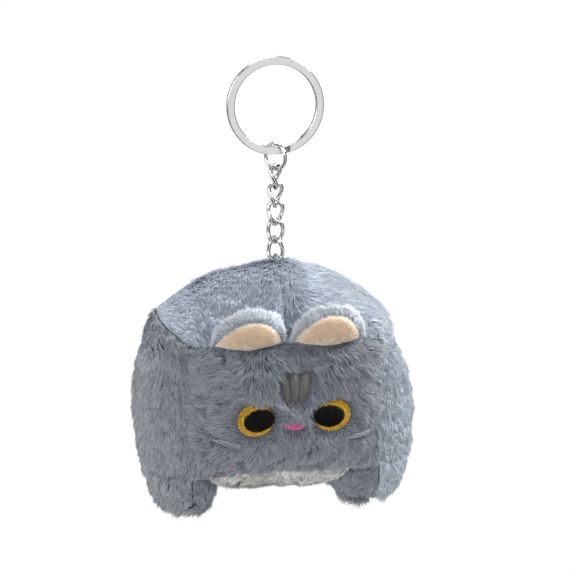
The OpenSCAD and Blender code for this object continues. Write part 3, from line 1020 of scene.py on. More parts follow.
        gusset_edge = np.minimum(np.minimum((1 - abs(u)) * self.foot_extent(z), self.chin - z),
                                 1.3 * (z - self.sole))
        for side, coat in ((Side.LEFT, left_side), (Side.RIGHT, right_side)):
            sign = np.array([side.value, 1, 1])
            add(f"{side.word}_side_panel", flanks[side] * sign, flank_edge, core, coat,
                self.down_side if side is Side.LEFT else towards(0, 0.35, -1))
            inner = self.foot_in[side is Side.RIGHT]
            add(f"{side.word}_foot_gusset", self.gusset(u, z, inner) * sign, gusset_edge,
                (side.value * (self.half_w + 3), 0.0, (self.chin + self.sole) / 2), foot,
                towards(-0.1 * side.value, -0.1, -1))

    def down_side(self, points: np.ndarray) -> np.ndarray:
        """Combs the left side downwards, but forwards along the seam at its top.

        Args:
            points: Places, in millimetres.

        Returns:
            One direction for each place.
        """
        share = ease(self.top - 6.5, self.top - 1.0, points[:, 2])[:, None]
        way = np.array([0, 0.35, -1]) * (1 - share) + np.array([0.05, -0.9, -0.25]) * share
        return way + 0.45 * field_noise(points, 11.0, 7.7)

    def trim_top(self, points: np.ndarray, pile: np.ndarray,
                 comb: np.ndarray) -> tuple[np.ndarray, np.ndarray]:
        """Shortens the top's pile along its side seam, so that it lies beside the side's pile."""
        border = self.half_w + self.shoulder_out[0] * dome(points[:, 1] / self.half_d, 2)
        return pile * (0.45 + 0.55 * ease(0.5, 6.0, border - np.abs(points[:, 0]))), comb

    def sew(self) -> None:
        """Joins the panels to one shell, draws the seams in, fills it, and shares it out again."""
        every = np.concatenate([p.points for p in self.panels])
        seam = np.concatenate([p.seam for p in self.panels])
        _, first, number = np.unique(np.round(every, 3), axis=0, return_index=True,
                                     return_inverse=True)
        number = number.ravel()
        shell = every[first]
        near = np.full(len(shell), 1e9)
        np.minimum.at(near, number, seam)
        quads, start = [], 0
        for panel in self.panels:
            quads += [tuple(int(number[start + k]) for k in face) for face in panel.quads()]
            start += len(panel.points)
        out = self.shell_normals(shell, quads)
        shaped = (-self.seam_depth * np.exp(-(near / self.seam_reach) ** 2)
                  + self.roll * np.exp(-((near - 5.5) / 3.2) ** 2))
        lumps = field_noise(shell, 13.0, 1.9)[:, 0] * 0.7 + field_noise(shell, 5.5, 4.3)[:, 0] * 0.3
        shell = shell + out * (shaped + lumps)[:, None]
        shell = self.fill(shell, quads, np.exp(-(near / 1.6) ** 2))
        start = 0
        for panel in self.panels:
            panel.points = shell[number[start:start + len(panel.points)]]
            start += len(panel.points)

    @staticmethod
    def shell_normals(shell: np.ndarray, quads: Faces) -> np.ndarray:
        """Outward normals of the sewn shell's points.

        Args:
            shell: The shell's points.
            quads: Its quads.

        Returns:
            A row of unit vectors.
        """
        corners = shell[np.array(quads)]
        face = np.cross(corners[:, 2] - corners[:, 0], corners[:, 3] - corners[:, 1])
        total = np.zeros_like(shell)
        for k in range(4):
            np.add.at(total, np.array(quads)[:, k], face)
        return unit(total)

    @staticmethod
    def fill(shell: np.ndarray, quads: Faces, held: np.ndarray, cap: float = 2.2,
             frames: int = 16, scale: float = 20.0) -> np.ndarray:
        """Blows the shell up as cloth, so that it swells and puckers between its held seams.

        Args:
            shell: The shell's points.
            quads: Its quads.
            held: How firmly each point is held, from 0 to 1.
            cap: The farthest that a point may move.
            frames: How long the cloth settles.
            scale: How many times larger the cloth is while it settles.

        Returns:
            The filled shell's points.
        """
        form = mesh_object("shell_form", shell * scale, quads)
        group = form.vertex_groups.new(name="seams")
        for weight in np.unique(np.round(held, 1)):
            if weight > 0:
                chosen = np.flatnonzero(np.round(held, 1) == weight).tolist()
                group.add(chosen, float(weight), "REPLACE")
        cloth = form.modifiers.new("filling", "CLOTH")
        cloth.settings.quality = 5
        cloth.settings.mass = 0.3
        cloth.settings.tension_stiffness = cloth.settings.compression_stiffness = 12
        cloth.settings.shear_stiffness = 4
        cloth.settings.bending_stiffness = 0.3
        cloth.settings.shrink_min = -0.035
        cloth.settings.use_pressure = True
        cloth.settings.uniform_pressure_force = 4
        cloth.settings.vertex_group_mass = "seams"
        cloth.settings.effector_weights.gravity = 0
        cloth.point_cache.frame_end = frames
        for frame in range(1, frames + 1):
            bpy.context.scene.frame_set(frame)
        graph = bpy.context.evaluated_depsgraph_get()
        moved = np.empty(len(shell) * 3, dtype=np.float32)
        form.evaluated_get(graph).data.vertices.foreach_get("co", moved)
        moved = moved.reshape(-1, 3) / (scale * MM)
        bpy.context.scene.frame_set(1)
        bpy.data.objects.remove(form)
        step = moved - shell
        size = np.linalg.norm(step, axis=1, keepdims=True)
        LOG.info("cloth moved %.2f mm at most before the cap", float(size.max()))
        return shell + step * np.minimum(1, cap / np.maximum(size, 1e-6))

    def panel(self, name: str) -> Panel:
        """Finds a panel by its CAD node's name."""
        return next(p for p in self.panels if p.name == name)


@dataclass
class Dresser:
    """Turns panels into pieces: the cloth as a closed sheet, and its coat of pile on top."""

    tree: Tree
    fibre: bpy.types.Object
    made: dict[str, bpy.types.Material] = field(default_factory=dict)
    seed: int = 11

    @classmethod
    def ready(cls) -> "Dresser":
        """Makes the fibre and the tree that lays it.

        Returns:
            The dresser.
        """
        # a fibre of unit height, bent over at its tip; its width is 1 unit
        ring = [(0.5 * math.cos(a), 0.5 * math.sin(a), 0.42)
                for a in (0.0, math.tau / 3, 2 * math.tau / 3)]
        points = np.array([(0, 0, 0), *ring, (3.4, 0, 0.94)]) / MM
        fibre = mesh_object("fibre", points, [(0, 2, 1), (0, 3, 2), (0, 1, 3), (4, 1, 2), (4, 2, 3),
                                              (4, 3, 1)])
        set_attribute(fibre, "tip", np.array([0.0, 0.5, 0.5, 0.5, 1.0]))
        return cls(pile_tree(), fibre)

    def finish(self, kind: Finish) -> bpy.types.Material:
        """A finish's material, made once.

        Args:
            kind: The finish.

        Returns:
            Its material.
        """
        if kind.name not in self.made:
            self.made[kind.name] = kind.make()
        return self.made[kind.name]

    def clear_away(self) -> None:
        """Removes the loose fibre when every coat is laid."""
        bpy.data.objects.remove(self.fibre)

    def grow(self, name: str, cloth: bpy.types.Object, coat: Coat) -> bpy.types.Object:
        """Lays a coat of pile on a cloth that carries comb, pile and shade.

        Args:
            name: The new piece's name.
            cloth: The cloth.
            coat: How the pile stands.

        Returns:
            The pile as one piece.
        """
        self.seed += 1
        return run_tree(self.tree, cloth, name, {
            "Fibre": self.fibre, "Density": coat.density / MM ** 2, "Length": coat.length * MM,
            "Width": coat.width * MM, "Lift": coat.lift, "Clump": coat.clump,
            "Clump Size": coat.clump_size * MM, "Lock": coat.lock, "Seed": self.seed,
            "Finish": self.finish(coat.finish)})

    def dress(self, panel: Panel, body: str, thick: float, trim: Trim | None = None,
              shade: Comb | None = None) -> None:
        """Makes a panel's cloth and pile and lets them stand for its CAD node.

        Args:
            panel: The panel.
            body: The CAD body that it rides on.
            thick: The cloth's thickness in millimetres.
            trim: Changes the pile's length and comb, for places.
            shade: Gives the depth of colour, for places, painted sheen included.
        """
        fine = panel.finer(panel.refine) if panel.refine > 1 else panel
        out = fine.normals()
        comb = fine.comb(fine.points)
        pile = 0.55 + 0.45 * ease(0.0, 4.0, fine.seam)
        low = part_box("left_side_panel")[0].z / MM
        pile = np.maximum(pile, 1.25 * ease(low + 7.0, low + 1.0, fine.points[:, 2]))
        if trim:
            pile, comb = trim(fine.points, pile, comb)
        comb = unit(comb - out * np.sum(comb * out, axis=1, keepdims=True))
        cloth = mesh_object(panel.name + "_cloth", fine.points, fine.quads())
        set_attribute(cloth, "comb", comb)
        set_attribute(cloth, "pile", pile)
        set_attribute(cloth, "shade", shade(fine.points) if shade else np.ones(len(out)))
        coat = self.grow(panel.name.replace("_panel", "") + "_pile", cloth, panel.coat)
        wall = cloth.modifiers.new("cloth", "SOLIDIFY")
        wall.thickness, wall.offset = thick * MM, -1
        graph = bpy.context.evaluated_depsgraph_get()
        cloth.data = bpy.data.meshes.new_from_object(cloth.evaluated_get(graph), depsgraph=graph)
        cloth.modifiers.clear()
        cloth.data.materials.append(self.finish(panel.coat.backing))
        for piece in (cloth, coat):
            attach(piece, body)
        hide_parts(panel.name)
        LOG.info("%s: cloth and %d pile faces", panel.name, len(coat.data.polygons))


# --- Embroidery ------------------------------------------------------------------------------


GOLD = SatinThread("gold_rayon_embroidery", "#bb9214", 0.4, 0.3)
BLACK = SatinThread("black_rayon_embroidery", "#050506", 0.6, 0.5, 0.0, 0.2)
PINK = SatinThread("pink_rayon_embroidery", "#c0588a", 0.4)
OLIVE = SatinThread("olive_grey_rayon_embroidery", "#565956", 0.45, 0.3)
PALE = SatinThread("pale_grey_rayon_embroidery", "#9298a1", 0.5)
RED = SatinThread("rose_red_rayon_embroidery", "#c64a5c", 0.4)


@dataclass
class Patch:
    """One embroidered patch: a padded ground with stitches of thread laid across it.

    Sizes are millimetres. The outline is a closed ring of points on the face, as (x, z).
    """

    name: str
    ring: np.ndarray
    slot: str
    thread: SatinThread
    rise: float = 0.7

    @property
    def middle(self) -> np.ndarray:
        """The middle of the outline."""
        return (self.ring.min(axis=0) + self.ring.max(axis=0)) / 2

    def spread(self, points: np.ndarray) -> np.ndarray:
        """How far places on the face are from the outline, below 0 inside it.

        Args:
            points: Places as rows of x, y, z.

        Returns:
            One distance in millimetres for each place.
        """
        flat = points[:, [0, 2]][:, None]
        start, run = self.ring[None], np.roll(self.ring, -1, axis=0)[None] - self.ring[None]
        share = np.sum((flat - start) * run, -1) / np.maximum(np.sum(run * run, -1), 1e-9)
        share = np.clip(share, 0, 1)
        away = np.linalg.norm(flat - start - share[..., None] * run, axis=-1).min(axis=1)
        low, high = self.ring, np.roll(self.ring, -1, axis=0)
        x, z = flat[..., 0], flat[..., 1]
        cross = ((low[:, 1] > z) != (high[:, 1] > z)) & (
            x < (high[:, 0] - low[:, 0]) * (z - low[:, 1])
            / np.where(high[:, 1] == low[:, 1], 1e-9, high[:, 1] - low[:, 1]) + low[:, 0])
        return np.where(cross.sum(axis=1) % 2 == 1, -away, away)


def oval(x: float, z: float, width: float, height: float, count: int = 40, lean: float = 0.0,
         power: float = 1.0) -> np.ndarray:
    """An oval outline, which can lean and be pointed at its ends.

    Args:
        x: Its middle, across.
        z: Its middle, up.
        width: Its width.
        height: Its height.
        count: How many points it has.
        lean: How far it leans, in degrees.
        power: Above 1, its ends are pointed.

    Returns:
        The outline, as rows of x and z.
    """
    a = np.linspace(0, math.tau, count, endpoint=False)
    across, up = np.cos(a) * width / 2 * np.abs(np.cos(a)) ** (power - 1), np.sin(a) * height / 2
    turn = math.radians(lean)
    return np.stack([x + across * math.cos(turn) - up * math.sin(turn),
                     z + across * math.sin(turn) + up * math.cos(turn)], axis=1)


@dataclass
class Embroidery:
    """The eyes, nose, forehead stripes, whiskers and cheek stitch, sewn on the face."""

    face: BVHTree
    dresser: Dresser
    iris_w: float = 10.9
    iris_h: float = 10.2
    pupil_w: float = 9.3
    pupil_h: float = 7.7
    eye_z: float = -91.4
    eye_x: tuple[float, float] = (-11.1, 12.8)
    pupil_x: tuple[float, float] = (-10.25, 11.8)
    nose: tuple[float, float, float, float] = (1.0, -94.0, 6.0, 2.9)
    stripe_top: tuple[float, float, float] = (-3.0, 1.1, 4.9)
    stripe_foot: tuple[float, float, float] = (-1.0, 1.2, 3.1)
    stripe_z: tuple[float, float] = (-77.4, -86.2)
    stripe_w: float = 3.1
    whisker_ends: tuple = (((-23.6, -96.7), (-15.6, -99.2)), ((18.0, -98.9), (24.4, -97.9)))
    thread_w: float = 0.34
    thread_h: float = 0.3
    patches: list[Patch] = field(default_factory=list)
    stitch: bpy.types.Object | None = None
    tree: Tree | None = None

    def plan(self) -> None:
        """Draws the outlines, which the face's pile keeps clear of."""
        for side, eye, pupil in zip(Side, self.eye_x, self.pupil_x):
            self.patches.append(Patch(f"{side.word}_iris", oval(
                eye, self.eye_z, self.iris_w, self.iris_h), "gold_thread", GOLD, 0.9))
            self.patches.append(Patch(f"{side.word}_pupil", oval(
                pupil, self.eye_z, self.pupil_w, self.pupil_h), "black_thread", BLACK, 1.45))
        x, z, w, h = self.nose
        self.patches.append(Patch("nose", oval(x, z, w, h, power=1.25), "pink_thread", PINK, 1.2))
        for name, top, foot in zip(("left", "middle", "right"), self.stripe_top, self.stripe_foot):
            high, low = self.stripe_z
            lean = math.degrees(math.atan2(foot - top, high - low))
            ring = oval((top + foot) / 2, (high + low) / 2, self.stripe_w, high - low,
                        lean=lean, power=0.8)
            # each stripe is narrower towards the nose
            share = 0.66 + 0.44 * (ring[:, 1] - low) / (high - low)
            axis = foot + (top - foot) * (ring[:, 1] - low) / (high - low)
            ring[:, 0] = axis + (ring[:, 0] - axis) * share
            self.patches.append(Patch(f"forehead_stripe_{name}", ring, "olive_thread", OLIVE, 0.8))

    def seat(self, x: float, z: float) -> tuple[np.ndarray, np.ndarray]:
        """The face's surface and outward normal at a place.

        Args:
            x: Place across, in millimetres.
            z: Place up, in millimetres.

        Returns:
            The point and the normal.
        """
        point, normal, _, _ = self.face.ray_cast(Vector((x, -60.0, z)), Vector((0, 1, 0)))
        if point is None:
            return np.array([x, -19.0, z]), np.array([0.0, -1.0, 0.0])
        out = np.array(normal)
        return np.array(point), out if out[1] < 0 else -out

    def pad(self, patch: Patch, rings: int = 7) -> bpy.types.Object:
        """The padded ground of a patch: a closed cushion that follows the face.

        Args:
            patch: The patch.
            rings: How many rings of points it has.

        Returns:
            The padded ground.
        """
        points, faces, count = [], [], len(patch.ring)
        for k in range(rings + 1):
            share = math.cos(k / rings * math.pi / 2)
            for x, z in patch.middle + (patch.ring - patch.middle) * share:
                at, out = self.seat(x, z)
                points.append(at + out * (patch.rise * (1 - share ** 3) ** 0.6 if k else -0.5))
        for k in range(rings):
            for i in range(count):
                j = (i + 1) % count
                faces.append((k * count + i, k * count + j,
                              (k + 1) * count + j, (k + 1) * count + i))
        faces.append(tuple(rings * count + i for i in range(count)))
        back = [p + np.array([0, 0.7, 0]) for p in points[:count]]
        start = len(points)
        points += back
        faces += [(start + i, start + (i + 1) % count, (i + 1) % count, i) for i in range(count)]
        faces.append(tuple(start + i for i in reversed(range(count))))
        made = mesh_object(patch.name + "_ground", np.array(points), faces)
        made.data.materials.append(self.dresser.finish(patch.thread))
        return made

    def lay(self, name: str, rows: Stitches, rise: Callable[..., float],
            thread: SatinThread) -> bpy.types.Object:
        """Lays stitches whose ends are given as places on the face.

        Args:
            name: The piece's name.
            rows: Each stitch's start and end as (x, z), and its extra rise.
            rise: The ground's rise at a place.
            thread: The thread.

        Returns:
            The stitches as one piece.
        """
        spots, along, out, span = [], [], [], []
        for start, end, extra in rows:
            ends = []
            for x, z in (start, end):
                at, normal = self.seat(x, z)
                ends.append(at + normal * (rise(np.array([x, z])) + extra))
            run = ends[1] - ends[0]
            middle, normal = self.seat(*((np.array(start) + np.array(end)) / 2))
            spots.append((ends[0] + ends[1]) / 2)
            along.append(run)
            out.append(normal)
            span.append(np.linalg.norm(run))
        plan = mesh_object(name + "_plan", np.array(spots), [])
        set_attribute(plan, "along", unit(np.array(along)))
        set_attribute(plan, "out", np.array(out))
        set_attribute(plan, "span", np.array(span) * MM)
        made = run_tree(self.tree, plan, name, {
            "Stitch": self.stitch, "Width": self.thread_w, "Height": self.thread_h,
            "Seed": len(rows), "Finish": self.dresser.finish(thread)})
        bpy.data.objects.remove(plan)
        return made

    def keep(self, piece: bpy.types.Object, node: str | None = None) -> None:
        """Hands a finished piece over to the frame.

        Args:
            piece: The piece.
            node: The CAD node that it stands for.
        """
        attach(piece, "cat")
        if node:
            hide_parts(node)
        LOG.info("%s: %d faces", piece.name, len(piece.data.polygons))

    def chords(self, patch: Patch, angle: float, gap: float) -> Stitches:
        """Parallel stitches that fill a patch.

        Args:
            patch: The patch.
            angle: Their run, in degrees from level.
            gap: Their spacing.

        Returns:
            The stitches.
        """
        run = np.array([math.cos(math.radians(angle)), math.sin(math.radians(angle))])
        side = np.array([-run[1], run[0]])
        flat = patch.ring - patch.middle
        across, onward = flat @ side, flat @ run
        rows = []
        for k, level in enumerate(np.arange(across.min() + gap / 3, across.max(), gap)):
            hits = []
            for i in range(len(flat)):
                j = (i + 1) % len(flat)
                if (across[i] - level) * (across[j] - level) < 0:
                    t = (level - across[i]) / (across[j] - across[i])
                    hits.append(onward[i] + t * (onward[j] - onward[i]))
            if len(hits) < 2:
                continue
            low, high = min(hits), max(hits)
            push = 0.25 * math.sin(k * 2.4)
            ends = [patch.middle + side * level + run * (low - 0.25 + push * 0.6),
                    patch.middle + side * level + run * (high + 0.25 + push)]
            # long threads go in two or three lengths, so that they follow the padding
            pieces = max(2, round((high - low) / 1.8))
            cuts = [ends[0] + (ends[1] - ends[0]) * n / pieces for n in range(pieces + 1)]
            rows += [(cuts[n], cuts[n + 1], 0.0) for n in range(pieces)]
        return rows

    def spokes(self, iris: Patch, pupil: Patch, gap: float) -> Stitches:
        """Stitches that run out from the pupil to the rim of the iris.

        Args:
            iris: The iris.
            pupil: The pupil.
            gap: The distance between stitches.

        Returns:
            Each stitch's two ends and its lift.
        """
        count = round(math.pi * (self.iris_w + self.iris_h) / 2 / gap)
        rows = []
        for k in range(count):
            a = math.tau * k / count
            way = np.array([math.cos(a), math.sin(a)])
            outer = iris.middle + way * np.array([self.iris_w, self.iris_h]) / 2
            inner = pupil.middle + way * np.array([self.pupil_w, self.pupil_h]) / 2 * 0.98
            outer = outer + way * (0.15 + 0.22 * math.sin(k * 2.1))
            if np.linalg.norm(outer - inner) > 0.3:
                middle = (outer + inner) / 2
                rows += [(inner, middle, 0.02 * (k % 2)), (middle, outer, 0.02 * (k % 2))]
        return rows

    def sew(self) -> None:
        """Makes every patch."""
        # a stitch one unit long and wide: a low loaf with rounded ends
        ring = [(math.cos(a) * 0.5, math.sin(a) * 0.5) for a in np.linspace(0, math.pi, 5)]
        stations = ((-0.5, 0.35), (-0.36, 0.9), (0.0, 1.0), (0.36, 0.9), (0.5, 0.35))
        points = [(x, y * s * 1.06, (z * 2 * s - 0.5)) for x, s in stations for y, z in ring]
        faces = [(i * 5 + j, i * 5 + j + 1, (i + 1) * 5 + j + 1, (i + 1) * 5 + j)
                 for i in range(4) for j in range(4)]
        faces += [(i * 5 + 4, i * 5, (i + 1) * 5, (i + 1) * 5 + 4) for i in range(4)]
        faces += [tuple(range(4, -1, -1)), tuple(range(20, 25))]
        self.stitch = mesh_object("stitch", np.array(points) / MM, faces)
        self.tree = stitch_tree()
        self.thread_w, self.thread_h = self.thread_w * MM, self.thread_h * MM
        named = {p.name: p for p in self.patches}
        for patch in self.patches:
            top = self.pad(patch)

            def rise(at: np.ndarray, on: Patch = patch) -> float:
                """The height of the patch's padding at a place.

                Args:
                    at: The place.
                    on: The patch.

                Returns:
                    The height in millimetres.
                """
                out = -float(on.spread(np.array([[at[0], 0, at[1]]]))[0])
                deep = np.abs(on.ring - on.middle).max() * 0.7
                return 0.25 + (on.rise - 0.1) * (1 - (1 - min(max(out, 0) / deep, 1)) ** 3) ** 0.6

            side = patch.name.split("_")[0]
            if patch.name.endswith("iris"):
                rows = self.spokes(patch, named[side + "_pupil"], 0.36)
            elif patch.name.endswith("pupil"):
                rows = self.chords(patch, 22.0 if side == "left" else -22.0, 0.36)
            elif patch.name == "nose":
                rows = self.chords(patch, 4.0, 0.34)
            else:
                foot = patch.ring[np.argmin(patch.ring[:, 1])]
                head = patch.ring[np.argmax(patch.ring[:, 1])]
                lean = math.degrees(math.atan2(head[1] - foot[1], head[0] - foot[0]))
                rows = self.chords(patch, lean - 24, 0.42)
            threads = self.lay(patch.name + "_stitches", rows, rise, patch.thread)
            self.keep(top, "forehead_stripes" if "stripe" in patch.name else patch.name)
            self.keep(threads)
        self.whiskers()
        bpy.data.objects.remove(self.stitch)

    def whiskers(self) -> None:
        """Lays each whisker as loose loops of thread, and the short stitch on the cheek."""
        for side, ends in zip(Side, self.whisker_ends):
            start, end = (np.array(p) for p in ends)
            run = unit(end - start)
            across = np.array([-run[1], run[0]])
            strands = []
            for k in range(4):
                t = np.linspace(0, 1, 26)[:, None]
                wave = np.sin(t * math.tau * (0.8 + 0.35 * k) + k * 1.7) * 0.28 + (k - 1.5) * 0.36
                line = start + (end - start) * (0.02 * k + t * (1 - 0.05 * k))
                line = line + across * wave * np.sin(np.clip(t, 0.04, 0.96) * math.pi) ** 0.4
                strands.append((line, 0.5 + 0.14 * (k % 2)))
            self.strand(f"{side.word}_whisker", strands, PALE, 0.15, 1.25)
        self.strand("cheek_stitch", [
            (np.array([(x, z - 0.42 * k)
                       for x, z in ((-19.8, -105.6), (-18.6, -105.9), (-17.4, -105.8))]), 0.7)
            for k in range(3)], RED, 0.22, 0.8)

    def strand(self, name: str, strands: list, thread: SatinThread, radius: float,
               rise: float) -> None:
        """Sweeps threads along lines on the face and hands them over as one piece.

        Args:
            name: The piece's name.
            strands: Each thread's points and its lift.
            thread: Its finish.
            radius: Half its thickness.
            rise: How far it stands off the cloth.
        """
        points, edges = [], []
        for line, lift in strands:
            start = len(points)
            for n, (x, z) in enumerate(line):
                at, out = self.seat(x, z)
                tuck = 0.0 if 0 < n < len(line) - 1 else -rise - 0.3
                points.append(at + out * (rise + lift + tuck))
            edges += [(start + n, start + n + 1) for n in range(len(line) - 1)]
        plan = line_object(name + "_line", np.array(points), edges)
        made = run_tree(wire_tree(), plan, name + "_thread", {
            "Radius": radius * MM, "Sides": 8, "Finish": self.dresser.finish(thread)})
        bpy.data.objects.remove(plan)
        self.keep(made, name)


def line_object(name: str, points: np.ndarray, edges: list[tuple[int, int]]) -> bpy.types.Object:
    """Makes a mesh object of edges only, from millimetre points.

    Args:
        name: The object's name.
        points: Its points.
        edges: Each edge's two point numbers.

    Returns:
        The object.
    """
    mesh = bpy.data.meshes.new(name)
    mesh.from_pydata((points * MM).tolist(), edges, [])
    made = bpy.data.objects.new(name, mesh)
    bpy.context.scene.collection.objects.link(made)
    return made


# --- Ears ------------------------------------------------------------------------------------


@dataclass
class Ear:
    """One ear: a stuffed half round, beige inside its pale rim, sewn on along its lower edge."""

    side: Side
    dresser: Dresser
    centre: tuple[float, float, float]
    radius: float
    height: float
    lean: float = 20.0
    thick: float = 3.8
    rim: float = 1.5
    skew: float = 0.13
    sag: float = 1.0
    rings: int = 15
    steps: int = 36

    @property
    def body(self) -> str:
        """The CAD body that the ear moves with."""
        return f"{self.side.word}_ear"

    @classmethod
    def from_frame(cls, side: Side, dresser: Dresser) -> "Ear":
        """Reads the ear's place and size from its CAD nodes.

        Args:
            side: Which ear it is.
            dresser: What lays its pile.

        Returns:
            The ear.
        """
        low, high = (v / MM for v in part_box(f"{side.word}_ear_back"))
        turn = math.radians(cls.lean)
        return cls(side, dresser, ((low.x + high.x) / 2, (low.y + high.y) / 2 + 1.2, low.z),
                   (high.x - low.x) / 2, (high.z - low.z) / math.cos(turn))

    def grid(self, width: float, height: float, bulge: float, sign: float,
             out: float = 0.0) -> np.ndarray:
        """Points of one side of a leaf-shaped cushion that leans forwards.

        Args:
            width: Half its width.
            height: Its height above the line between its tips.
            bulge: How far its middle stands out.
            sign: -1 for the front and 1 for the back.
            out: How far the whole side is moved forwards.

        Returns:
            Rows of points from the lower edge up, which run from tip to tip.
        """
        w, u = np.meshgrid(np.linspace(0, 1, self.rings), shares(self.steps), indexing="ij")
        apex = u - self.skew * (1 - u * u)
        foot = -self.sag * (1 - u * u)
        top = height * np.maximum(0, 1 - np.abs(apex) ** 2.3) ** 0.72
        rise = (1 - np.cos(w * math.pi)) / 2
        z = foot + rise * (np.maximum(top, foot) - foot)
        y = sign * bulge * np.sin(w * math.pi) ** 0.6 * dome(u, 3.5) - out
        turn = math.radians(self.lean)
        points = np.stack([u * width, y * math.cos(turn) - z * math.sin(turn),
                           z * math.cos(turn) + y * math.sin(turn)], -1)
        return points + np.array(self.centre)

    def leaf(self, name: str, front: np.ndarray, back: np.ndarray) -> bpy.types.Object:
        """A closed cushion from a front and a back grid that share their rim.

        Args:
            name: The object's name.
            front: The front grid.
            back: The back grid.

        Returns:
            The cushion.
        """
        rows, cols = front.shape[:2]
        points = np.concatenate([front.reshape(-1, 3), back.reshape(-1, 3)])
        faces = [f[::-1] for f in grid_quads(rows, cols)]
        faces += [tuple(k + rows * cols for k in f) for f in grid_quads(rows, cols)]
        other = rows * cols
        faces += [(i * cols, i * cols + other, (i + 1) * cols + other, (i + 1) * cols)
                  for i in range(rows - 1)]
        faces += [((i + 1) * cols + cols - 1, (i + 1) * cols + cols - 1 + other,
                   i * cols + cols - 1 + other, i * cols + cols - 1) for i in range(rows - 1)]
        made = mesh_object(name, points, faces)
        make_closed(made)
        return made

    def open_skin(self, name: str, grid: np.ndarray, front: bool) -> bpy.types.Object:
        """The open skin that the pile stands on.

        Args:
            name: The object's name.
            grid: Its points.
            front: Whether it faces forwards.

        Returns:
            The skin.
        """
        rows, cols = grid.shape[:2]
        faces = grid_quads(rows, cols)
        return mesh_object(name, grid.reshape(-1, 3), [f[::-1] for f in faces] if front else faces)

    def build(self) -> None:
        """Makes the ear's back with its fluffy rim, and its lining."""
        word = self.side.word
        bulge = self.thick / 2
        front = self.grid(self.radius - 0.4, self.height - 0.4, bulge * 0.75, -1)
        back = self.grid(self.radius - 0.4, self.height - 0.4, bulge, 1)
        shell = self.leaf(f"{word}_ear_cushion", front, back)
        shell.data.materials.append(self.dresser.finish(LIGHT_KNIT))
        wide = self.radius - self.rim
        tall = self.height - self.rim * (1.1 - 0.5 * (self.side is Side.RIGHT))
        lining_front = self.grid(wide, tall, bulge * 1.3, -1, 0.5)
        lining = self.leaf(f"{word}_ear_lining_cloth", lining_front,
                           self.grid(wide, tall, bulge * 0.3, -1, 0.5))
        lining.data.materials.append(self.dresser.finish(BEIGE_KNIT))
        centre = np.array(self.centre)
        rim = Coat(RIM, LIGHT_KNIT, "light_plush", 3.4, 20.0, width=0.24, lift=0.5, clump=0.5,
                   clump_size=3.0, lock=0.6)
        short = Coat(BEIGE, BEIGE_KNIT, "beige_lining", 1.5, 34.0, width=0.17, lift=0.9, clump=0.25,
                     clump_size=3.0, lock=0.3)
        coats = []
        for name, grid, coat, is_front in ((f"{word}_ear_rim_pile", front, rim, True),
                                           (f"{word}_ear_back_pile", back, rim, False),
                                           (f"{word}_ear_lining_pile", lining_front, short, True)):
            skin = self.open_skin(name + "_skin", grid, is_front)
            points = grid.reshape(-1, 3)
            out = (points - centre - np.array([0, 0, 0.8])) * np.array([0.8, 0.1, 1.2])
            up, across = np.meshgrid(np.linspace(0, 1, self.rings), shares(self.steps),
                                     indexing="ij")
            up, ends = up.ravel(), ease(0.7, 0.98, np.abs(across.ravel()))
            if name.endswith("rim_pile"):
                pile = ease(0.55, 0.8, up) * (1 - 0.55 * ends)
            elif name.endswith("lining_pile"):
                pile = 0.75 + 0.5 * ease(0.7, 0.98, up) - 0.25 * (1 - ease(0.0, 0.2, up))
            else:
                pile = (0.3 + 0.7 * ease(0.05, 0.3, up)) * (1 - 0.4 * ends)
            set_attribute(skin, "comb", unit(out + 0.3 * field_noise(points, 3.0, 2.2)))
            set_attribute(skin, "pile", pile)
            set_attribute(skin, "shade", 0.96 + 0.08 * np.abs(2 * up - 1))
            coats.append((self.dresser.grow(name, skin, coat), coat.slot))
            bpy.data.objects.remove(skin)
        for piece, slot in ((shell, "light_plush"), (lining, "beige_lining"), *coats):
            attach(piece, self.body)
        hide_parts(f"{word}_ear_back")
        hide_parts(f"{word}_ear_lining")
        LOG.info("%s ear: %d pile faces", word, sum(len(c.data.polygons) for c, _ in coats))


def make_closed(thing: bpy.types.Object) -> None:
    """Merges a mesh's doubled points, drops faces without area, and points its faces outwards.

    Args:
        thing: The mesh object.
    """
    mesh = bmesh.new()
    mesh.from_mesh(thing.data)
    bmesh.ops.remove_doubles(mesh, verts=mesh.verts, dist=0.02 * MM)
    bmesh.ops.dissolve_degenerate(mesh, edges=mesh.edges, dist=0.005 * MM)
    bmesh.ops.recalc_face_normals(mesh, faces=mesh.faces)
    mesh.to_mesh(thing.data)
    mesh.free()
    thing.data.shade_smooth()


# --- Metal and cord --------------------------------------------------------------------------


NICKEL = NickelPlate("bright_nickel_plated_steel", "#e4e4e2", 0.12)
STRIP = NickelPlate("nickel_plated_spring_strip", "#ededeb", 0.14)
CORD = BraidedCord("blue_grey_braided_cord", "#8d94a1")
FILL = FibreFill("hollow_polyester_fill", "#ecebe6")


